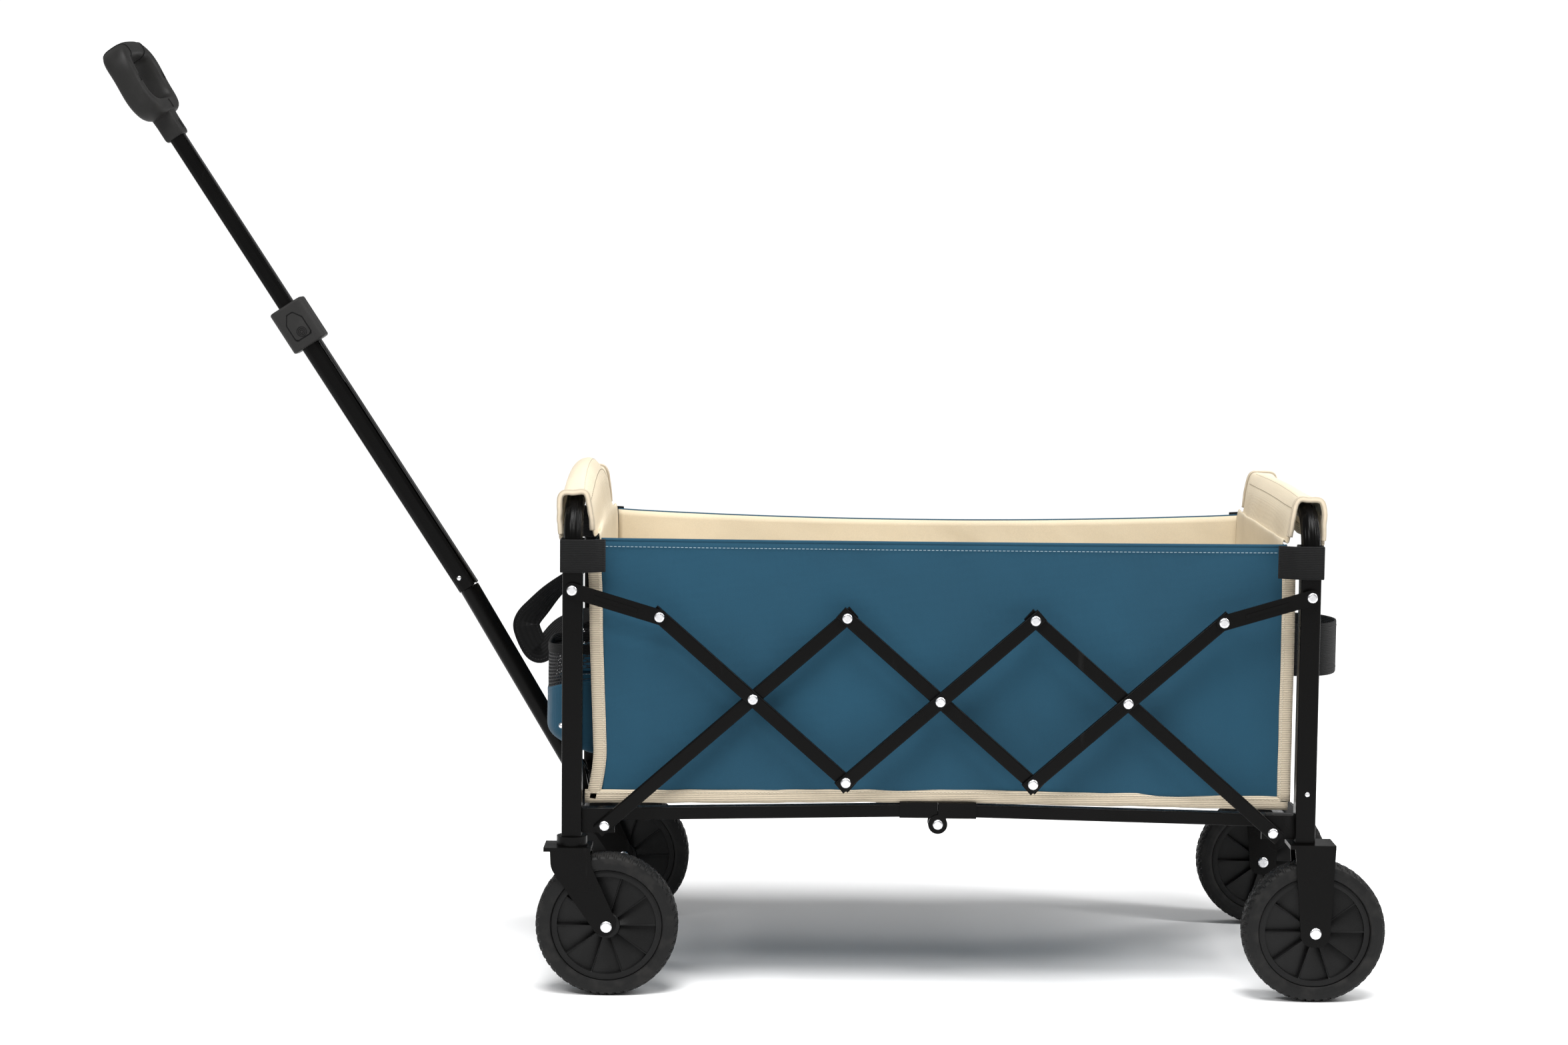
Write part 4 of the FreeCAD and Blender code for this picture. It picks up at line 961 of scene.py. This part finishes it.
strap_sides = strap_across(strap_line)
strap = sweep(
    "front_strap_webbing",
    strap_line,
    strap_sides,
    tape_outline(STRAP_WIDTH, 0.0018),
    black_tape["Y"],
    "front_frame",
)
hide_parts("front_strap")
for offset in (-0.38, 0.38):
    line = [p + side.normalized() * offset * STRAP_WIDTH for p, side in zip(strap_line, strap_sides)]
    tag = "near" if offset < 0 else "far"
    stitches("strap_stitches_" + tag, line, "front_frame", mesh_thread, 0.004, 0.0012)

grab_low, grab_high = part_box("rear_grab_loop")
grab_z = (grab_low.z + grab_high.z) / 2
grab_points = [
    (grab_low.x, -0.062), (0.502, -0.056), (grab_high.x - 0.001, 0), (0.502, 0.056), (grab_low.x, 0.062)
]
grab_line = smooth_line([Vector((x, y, grab_z)) for x, y in grab_points], 14)
grab = sweep(
    "grab_loop_webbing",
    grab_line,
    Z_AXIS,
    tape_outline(grab_high.z - grab_low.z, 0.0026),
    black_tape["Z"],
    "rear_frame",
)
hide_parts("rear_grab_loop")
for rise in (-0.4, 0.4):
    line = [p + Vector((0.0014, 0, rise * (grab_high.z - grab_low.z))) for p in grab_line]
    tag = "low" if rise < 0 else "high"
    stitches("grab_stitches_" + tag, line, "rear_frame", mesh_thread, 0.004)

# ---------------------------------------------------------------- front pockets

pocket_low, pocket_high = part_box("front_pockets")
POCKET_BACK = pocket_high.x
POCKET_DEPTH = pocket_high.x - pocket_low.x
POCKET_MIDDLE = 0.129
POCKET_HALF = 0.066
POCKET_SPLIT = 0.386


def pocket_point(side, u, z):
    """A point round the pocket's front, from its inner edge to its outer one, at a height."""
    up = (z - pocket_low.z) / (pocket_high.z - pocket_low.z)
    belly = 1 - max(0, 1 - up / 0.28) ** 2.6
    depth = POCKET_DEPTH * (0.12 + 0.88 * belly) * (1 - 0.03 * up)
    depth -= 0.002 * (0.5 + 0.5 * drift(Vector((u, up, side)), 3, 6))
    turn = math.pi * u
    out = math.sin(turn) ** 0.36
    across = math.copysign(abs(math.cos(turn)) ** 0.5, math.cos(turn))
    y = side * (POCKET_MIDDLE - POCKET_HALF * across * (0.9 + 0.1 * belly))
    return Vector((POCKET_BACK - depth * out, y, z))


def split_height(u):
    """The teal part's top edge dips in the middle."""
    return POCKET_SPLIT - 0.012 * math.sin(math.pi * u)


for side_name, side in SIDES:

    def lower_place(u, v, side=side):
        return pocket_point(side, u, pocket_low.z + v * (split_height(u) - pocket_low.z))

    bag = surface(
        "pocket_bag_" + side_name, 30, 60, lower_place, teal_cloth, "front_frame",
        0.0014, flip=side < 0
    )
    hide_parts("front_pockets")
    girth = sum(
        (pocket_point(side, i / 59, 0.36) - pocket_point(side, (i + 1) / 59, 0.36)).length for i in range(59)
    )

    top_edge = [pocket_point(side, i / 59, split_height(i / 59)) for i in range(60)]
    sweep(
        "pocket_seam_" + side_name,
        top_edge,
        Z_AXIS,
        tape_outline(0.006, 0.003),
        teal_cloth,
        "front_frame",
    )
    low_row = [
        pocket_point(side, i / 59, split_height(i / 59) - 0.006) + Vector((-0.0012, 0, 0)) for i in range(60)
    ]
    stitches("pocket_stitches_" + side_name, low_row, "front_frame", thread_pale, 0.004)

    # Knitted mesh: hexagonal holes between round threads.
    points = []
    edges = []
    index_of = {}

    def corner(u_step, v_step, side=side):
        key = (u_step, v_step)
        if key not in index_of:
            u = min(u_step / 96, 1)
            z = split_height(u) + (pocket_high.z - 0.002 - split_height(u)) * v_step / 24
            index_of[key] = len(points)
            points.append(pocket_point(side, u, z))
        return index_of[key]

    for column in range(0, 96, 2):
        for row in range(0, 24, 2):
            shift = 1 if (row // 2) % 2 else 0
            here = corner(column + shift, row)
            above = corner(column + shift, row + 1)
            edges.append((here, above))
            if row + 2 <= 24:
                for step in (-1, 1):
                    ahead = column + shift + step
                    if 0 <= ahead <= 96:
                        edges.append((above, corner(ahead, row + 2)))
    net_mesh = bpy.data.meshes.new("pocket_net_" + side_name)
    net_mesh.from_pydata([tuple(p) for p in points], edges, [])
    net_mesh.materials.append(mesh_thread)
    net = bpy.data.objects.new("pocket_net_" + side_name, net_mesh)
    bpy.context.scene.collection.objects.link(net)
    skin = net.modifiers.new("threads", "SKIN")
    for vertex in net_mesh.skin_vertices[0].data:
        vertex.radius = (0.00045, 0.00045)
    skin.use_smooth_shade = True
    bake_modifiers(net)
    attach(net, "front_frame")
    rim = [pocket_point(side, i / 59, pocket_high.z - 0.001) for i in range(60)]
    sweep(
        "pocket_rim_" + side_name,
        rim,
        Z_AXIS,
        tape_outline(0.012, 0.0028),
        black_tape["Z"],
        "front_frame",
    )

# ---------------------------------------------------------------- wheels

TREAD_LUGS = 52
TREAD_DEPTH = 0.0019


def tread(radius, y, turn):
    """Chevron grooves across the tread, which also notch its shoulders."""
    if radius < 0.0862:
        return radius, y
    phase = (turn * TREAD_LUGS / TAU + abs(y) * 70) % 1
    groove = 1 if phase < 0.38 else 0
    centre_rib = 0.35 if abs(y) < 0.0025 else 1
    return radius - TREAD_DEPTH * groove * centre_rib, y


def tyre_profile(radius, bore, half):
    side = [
        (bore, -half + 0.0030),
        (bore + 0.0012, -half + 0.0008),
        (bore + 0.004, -half),
        (radius - 0.010, -half),
    ]
    side += [
        (radius - 0.0075, -half + 0.0006),
        (radius - 0.0045, -half + 0.0014),
        (radius - 0.0020, -half + 0.0034),
    ]
    side += [
        (radius - 0.0006, -half + 0.0062),
        (radius, -half + 0.0095),
        (radius, -0.0052),
        (radius, -0.0014),
    ]
    return side + [(r, -y) for r, y in reversed(side)]


HUB_WEDGES = 10


def pinwheel(radius, y, turn):
    """Each face of the hub is cut into ramps that meet at thin radial ribs."""
    if not 0.0165 < radius < 0.0615:
        return radius, y
    phase = (turn * HUB_WEDGES / TAU) % 1
    rib = 1 if phase < 0.045 or phase > 0.985 else 0
    ramp = 0.0012 + 0.0052 * phase
    return radius, y - math.copysign(ramp * (1 - rib), y)


def hub_profile(outer, half):
    face = [
        (0.0052, -half + 0.001),
        (0.0056, -half - 0.0008),
        (0.012, -half - 0.001),
        (0.0155, -half - 0.0006),
    ]
    face += [(0.0164, -half + 0.0002), (0.0168, -half), (0.030, -half), (0.045, -half), (0.0605, -half)]
    face += [
        (0.0612, -half),
        (0.0618, -half - 0.0006),
        (0.0660, -half - 0.0008),
        (outer - 0.0006, -half - 0.0004),
    ]
    face += [(outer, -half + 0.001)]
    return face + [(r, -y) for r, y in reversed(face)]


for end_name, _ in ENDS:
    for side_name, _ in SIDES:
        tag = "%s_%s" % (end_name, side_name)
        low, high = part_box("tyre_" + tag)
        centre = (low + high) / 2
        radius = (high.z - low.z) / 2
        half = (high.y - low.y) / 2
        hub_low, hub_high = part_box("hub_" + tag)
        hub_radius = (hub_high.z - hub_low.z) / 2
        hub_half = (hub_high.y - hub_low.y) / 2 - 0.0014
        body = "wheel_" + tag
        tyre = lathe(
            "tread_tyre_" + tag, centre, tyre_profile(radius, hub_radius + 0.0001, half), 416,
            tyre_skin, body, tread
        )
        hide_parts("tyre_" + tag)
        hub = lathe(
            "pinwheel_hub_" + tag, centre, hub_profile(hub_radius, hub_half), 400,
            hub_plastic, body, pinwheel
        )
        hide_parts("hub_" + tag)
        for piece in (tyre, hub):
            for polygon in piece.data.polygons:
                polygon.use_smooth = False

# ---------------------------------------------------------------- grip and collar details

handle_joint = next(j for j in frame["joints"] if j["name"] == "handle_slide")
up_handle = Vector(handle_joint["axis"])
button_centre = centre_of("release_button")
under_handle = up_handle.cross(Y_AXIS).normalized()


def reach_along(node_name, direction):
    """The lowest and highest place of a CAD node along a direction."""
    found = [v.co.dot(direction) for v in frame["nodes"][node_name].data.vertices]
    return min(found), max(found)


AXIS_POINT = centre_of("handle_upper_tube")


def on_axis(level):
    """The point of the upper handle's axis at a level along it."""
    return AXIS_POINT + up_handle * (level - AXIS_POINT.dot(up_handle))


GRIP_TWIST = math.radians(8)
GRIP_ACROSS = Y_AXIS * math.cos(GRIP_TWIST) - under_handle * math.sin(GRIP_TWIST)
GRIP_UNDER = under_handle * math.cos(GRIP_TWIST) + Y_AXIS * math.sin(GRIP_TWIST)
RING_HALF_WIDTH = 0.0495
RING_HALF_LENGTH = 0.0425
RING_BAR = 0.0106
RING_DEPTH = 0.0168
RING_STEPS = 96
ring_centre = on_axis(reach_along("grip", up_handle)[1] - RING_HALF_LENGTH - RING_BAR)


def ring_share(turn):
    """How far across and along the ring a turn lies, each from -1 to 1."""
    softness = 0.62 if math.sin(turn) > 0 else 0.52
    return signed_power(math.cos(turn), softness), signed_power(math.sin(turn), softness)


def ring_point(turn):
    across, along = ring_share(turn)
    bend = -0.0012 * math.sin(math.pi * along) * abs(across)
    width = RING_HALF_WIDTH * (1 + 0.04 * along)
    return (
        ring_centre + GRIP_ACROSS * width * across + up_handle * RING_HALF_LENGTH * along + GRIP_UNDER * bend
    )


def ring_swell(turn):
    """The ring is fuller at its top bar and lower corners than along its arms."""
    along = ring_share(turn)[1]
    return 0.95 + (0.14 if along > 0 else 0.06) * along**2, 1 + 0.10 * along**2


ring_turns = [TAU * (step + 0.5) / RING_STEPS for step in range(RING_STEPS)]
ring_outline = rounded_square(RING_DEPTH, RING_BAR, 0.66, 28)
grip_ring = sweep(
    "grip_ring",
    [ring_point(turn) for turn in ring_turns],
    GRIP_UNDER,
    ring_outline,
    grip_plastic,
    "handle_upper",
    True,
    [ring_swell(turn) for turn in ring_turns],
)
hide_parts("grip")

# The socket: a rounded square neck that runs up into the ring's lower bar.
SOCKET_HALF = 0.0142
socket_low = reach_along("grip", up_handle)[0]
socket_line = []
socket_swell = []
for rise, size in (
    (0, 0.88), (0.0012, 0.95), (0.004, 1.0), (0.022, 1.0), (0.030, 1.02), (0.040, 1.08), (0.048, 1.1)
):
    socket_line.append(on_axis(socket_low + rise))
    socket_swell.append((size, size))
socket_outline = rounded_square(SOCKET_HALF, SOCKET_HALF, 0.42, 40)
sweep(
    "grip_socket", socket_line, GRIP_UNDER, socket_outline, grip_plastic, "handle_upper",
    False, socket_swell
)


def grip_seam(name, turn):
    """The dark joint line round the ring, where the top bar meets an arm."""
    here = ring_point(turn)
    ahead = (ring_point(turn + 0.02) - ring_point(turn - 0.02)).normalized()
    out = ahead.cross(GRIP_UNDER).normalized()
    wide, deep = ring_swell(turn)
    loop = [here + GRIP_UNDER * a * wide * 1.002 + out * b * deep * 1.003 for a, b in ring_outline]
    sweep(
        name, loop, ahead, round_outline(0.0009, 6), dark_line_and_slot_shade, "handle_upper", True
    )


for number, degrees in enumerate((66, 114)):
    grip_seam("grip_seam_%d" % number, math.radians(degrees))


def painted_slot_shade(name, middle, length, across, width, body):
    """A narrow moulded slot along the handle, drawn as a dark inlay flush with the face: painted shade where the
    slot's recess is.
    """
    line = [middle + up_handle * length * (step / 8 - 0.5) for step in range(9)]
    ends = [(0.35 + 0.65 * math.sin(math.pi * (step + 0.6) / 9.2) ** 0.4, 1) for step in range(9)]
    return sweep(
        name, line, across, tape_outline(width, 0.0008), dark_line_and_slot_shade, body, False, ends
    )


# Painted shade: dark flush inlays on the ring's arms, its lower bar and the socket's neck stand for the slots'
# recesses.
for side_name, side in SIDES:
    arm = ring_point(0 if side > 0 else math.pi)
    on_face = arm - GRIP_UNDER * RING_DEPTH * ring_swell(0)[0] - GRIP_ACROSS * side * 0.001
    painted_slot_shade("grip_slot_shade_" + side_name, on_face, 0.011, GRIP_ACROSS, 0.004, "handle_upper")
lower_bar = ring_point(1.5 * math.pi)
bar_face = lower_bar - GRIP_UNDER * RING_DEPTH * ring_swell(1.5 * math.pi)[0]
painted_slot_shade("lower_bar_slot_shade", bar_face + GRIP_ACROSS * 0.004, 0.012, GRIP_ACROSS, 0.004, "handle_upper")
neck = on_axis(socket_low + 0.013) - GRIP_UNDER * SOCKET_HALF
painted_slot_shade("socket_slot_shade", neck, 0.012, GRIP_ACROSS, 0.006, "handle_upper")

button_face = Vector((button_centre.x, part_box("release_button")[0].y, button_centre.z))
for number, ring_radius in enumerate((0.0062, 0.0042, 0.0022)):
    ring = []
    for step in range(32):
        turn = TAU * step / 32
        across_ring = under_handle * ring_radius * math.sin(turn)
        ring.append(
            button_face + up_handle * (ring_radius * math.cos(turn) - 0.0075) + across_ring - Y_AXIS * 0.0001
        )
    sweep(
        "button_ring_%d" % number, ring, Y_AXIS, round_outline(0.0004, 8), dark_line_and_slot_shade, "release_button",
        True
    )

button_half = (
    reach_along("release_button", under_handle)[1] - reach_along("release_button", under_handle)[0]
) / 2
button_reach = (
    reach_along("release_button", up_handle)[1] - reach_along("release_button", up_handle)[0]
) / 2
button_middle = on_axis(sum(reach_along("release_button", up_handle)) / 2)
collar_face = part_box("handle_collar")[0].y
GROOVE = 0.0016
house = [(-1, -0.86), (-0.86, -1), (0.86, -1), (1, -0.86), (1, 0.36), (0.35, 1), (-0.35, 1), (-1, 0.36)]
groove_line = []
for index, (a, b) in enumerate(house):
    following = house[(index + 1) % len(house)]
    for step in range(6):
        share = step / 6
        out = (a + (following[0] - a) * share) * (button_half + GROOVE / 2)
        rise = (b + (following[1] - b) * share) * (button_reach + GROOVE / 2)
        place_on_face = button_middle + under_handle * out + up_handle * rise
        groove_line.append(Vector((place_on_face.x, collar_face - 0.00005, place_on_face.z)))
groove_sides = [t.cross(Y_AXIS) for t in tangents(groove_line, True)]
# Painted shade: a dark flush band round the release button, where the groove between button and collar is.
sweep(
    "button_groove_shade",
    groove_line,
    groove_sides,
    tape_outline(GROOVE, 0.0003),
    dark_line_and_slot_shade,
    "handle",
    True,
)

# ---------------------------------------------------------------- small fasteners and straps under the bin

for side_name, side in SIDES:
    outward = Vector((0, side, 0))
    rear_spot = Vector((BOW_X + 0.001, side * 0.2415, 0.262))
    dome("rear_post_screw_" + side_name, rear_spot, outward, 0.0032, 0.0016, "rear_frame")
    knob = Vector((-BOW_X - 0.0125, side * 0.229, 0.338))
    dome("front_post_pin_" + side_name, knob, Vector((-1, 0, 0)), 0.0036, 0.0042, "front_frame")

joint_point = Vector((-0.619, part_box("handle_middle_tube")[0].y, 0.4975))
dome("handle_joint_screw", joint_point, Vector((0, -1, 0)), 0.0032, 0.0018, "handle")


def flat_strap(name, start, end, across, width, thick, material, body, sag=0.0):
    line = []
    for step in range(25):
        share = step / 24
        point = start.lerp(end, share)
        line.append(point - Z_AXIS * sag * math.sin(math.pi * share))
    return sweep(name, line, across, tape_outline(width, thick), material, body)


LIFT_Z = BASE - 0.0045
for number, x in enumerate((-0.066, 0.052)):
    start = Vector((x, -0.196, LIFT_Z))
    end = Vector((x, 0.196, LIFT_Z))
    strap_piece = flat_strap(
        "lift_strap_%d" % number,
        start,
        end,
        X_AXIS,
        0.012,
        0.0016,
        navy_cloth,
        "front_frame",
        0.001,
    )
    folds_up(strap_piece)
plate = flat_strap(
    "lift_plate",
    Vector((-0.064, -0.19, LIFT_Z - 0.001)),
    Vector((0.050, -0.19, LIFT_Z - 0.001)),
    Y_AXIS,
    0.014,
    0.002,
    black_tape["X"], "front_frame", 0.004,
)
folds_up(plate)

# ---------------------------------------------------------------- stage, light and camera


SUN_POWER = 2.95
SUN_SPREAD = math.radians(26)
AMBIENT = 0.31
FLOOR_HALF = 30


def add_light(name, place, aim, size, power):
    lamp = bpy.data.lights.new(name, "AREA")
    lamp.shape = "RECTANGLE"
    lamp.size = size[0]
    lamp.size_y = size[1]
    lamp.energy = power
    made = bpy.data.objects.new(name, lamp)
    made.location = place
    made.rotation_euler = (Vector(aim) - Vector(place)).to_track_quat("-Z", "Y").to_euler()
    bpy.context.scene.collection.objects.link(made)
    return made


def studio():
    floor_mesh = bpy.data.meshes.new("studio_floor")
    corners = [(x * FLOOR_HALF, y * FLOOR_HALF, 0) for x, y in ((-1, -1), (1, -1), (1, 1), (-1, 1))]
    floor_mesh.from_pydata(corners, [], [(0, 1, 2, 3)])
    white = new_material("studio_white", (0.93, 0.93, 0.93), 0.9)[0]
    floor_mesh.materials.append(white)
    floor = bpy.data.objects.new("studio_floor", floor_mesh)
    bpy.context.scene.collection.objects.link(floor)
    floor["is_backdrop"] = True
    bpy.context.scene.world = studio_world()
    sun = bpy.data.lights.new("soft_sun", "SUN")
    sun.energy = SUN_POWER
    sun.angle = SUN_SPREAD
    hung = bpy.data.objects.new("soft_sun", sun)
    hung.rotation_euler = Vector((0.0, 0.42, -1.0)).to_track_quat("-Z", "Y").to_euler()
    bpy.context.scene.collection.objects.link(hung)
    add_light("key", (-1.6, -2.6, 3.0), (-0.2, 0, 0.5), (2.6, 0.5), 70)
    add_light("rim", (2.6, 1.6, 2.2), (0.1, 0, 0.5), (1.0, 2.0), 28)
    add_light("strip", (1.9, -0.6, 2.5), (-0.4, 0, 0.7), (0.22, 2.4), 45)


def studio_world():
    """White behind the object, and a softer grey as the light that it gets from all round."""
    world = bpy.data.worlds.new("studio")
    world.use_nodes = True
    tree = world.node_tree
    background = tree.nodes["Background"]
    background.inputs["Color"].default_value = (1, 1, 1, 1)
    rays = tree.nodes.new("ShaderNodeLightPath")
    seen = spread(tree, rays.outputs["Is Camera Ray"], AMBIENT, 1.05)
    tree.links.new(seen, background.inputs["Strength"])
    return world


studio()

camera_data = bpy.data.cameras.new("camera")
camera_data.sensor_width = 36
camera_data.lens = 76.2
camera = bpy.data.objects.new("camera", camera_data)
camera.location = (-0.196, -4.320, 0.974)
level = Matrix.Rotation(math.radians(84.70), 4, "X")
roll = Matrix.Rotation(math.radians(0.56), 4, "Z")
camera.rotation_euler = (level @ roll).to_euler()
bpy.context.scene.collection.objects.link(camera)
bpy.context.scene.camera = camera
bpy.context.scene.view_settings.view_transform = "Standard"

boxes = {"cad": cad_box, "visual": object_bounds()}
{name: [list(corner) for corner in pair] for name, pair in boxes.items()}
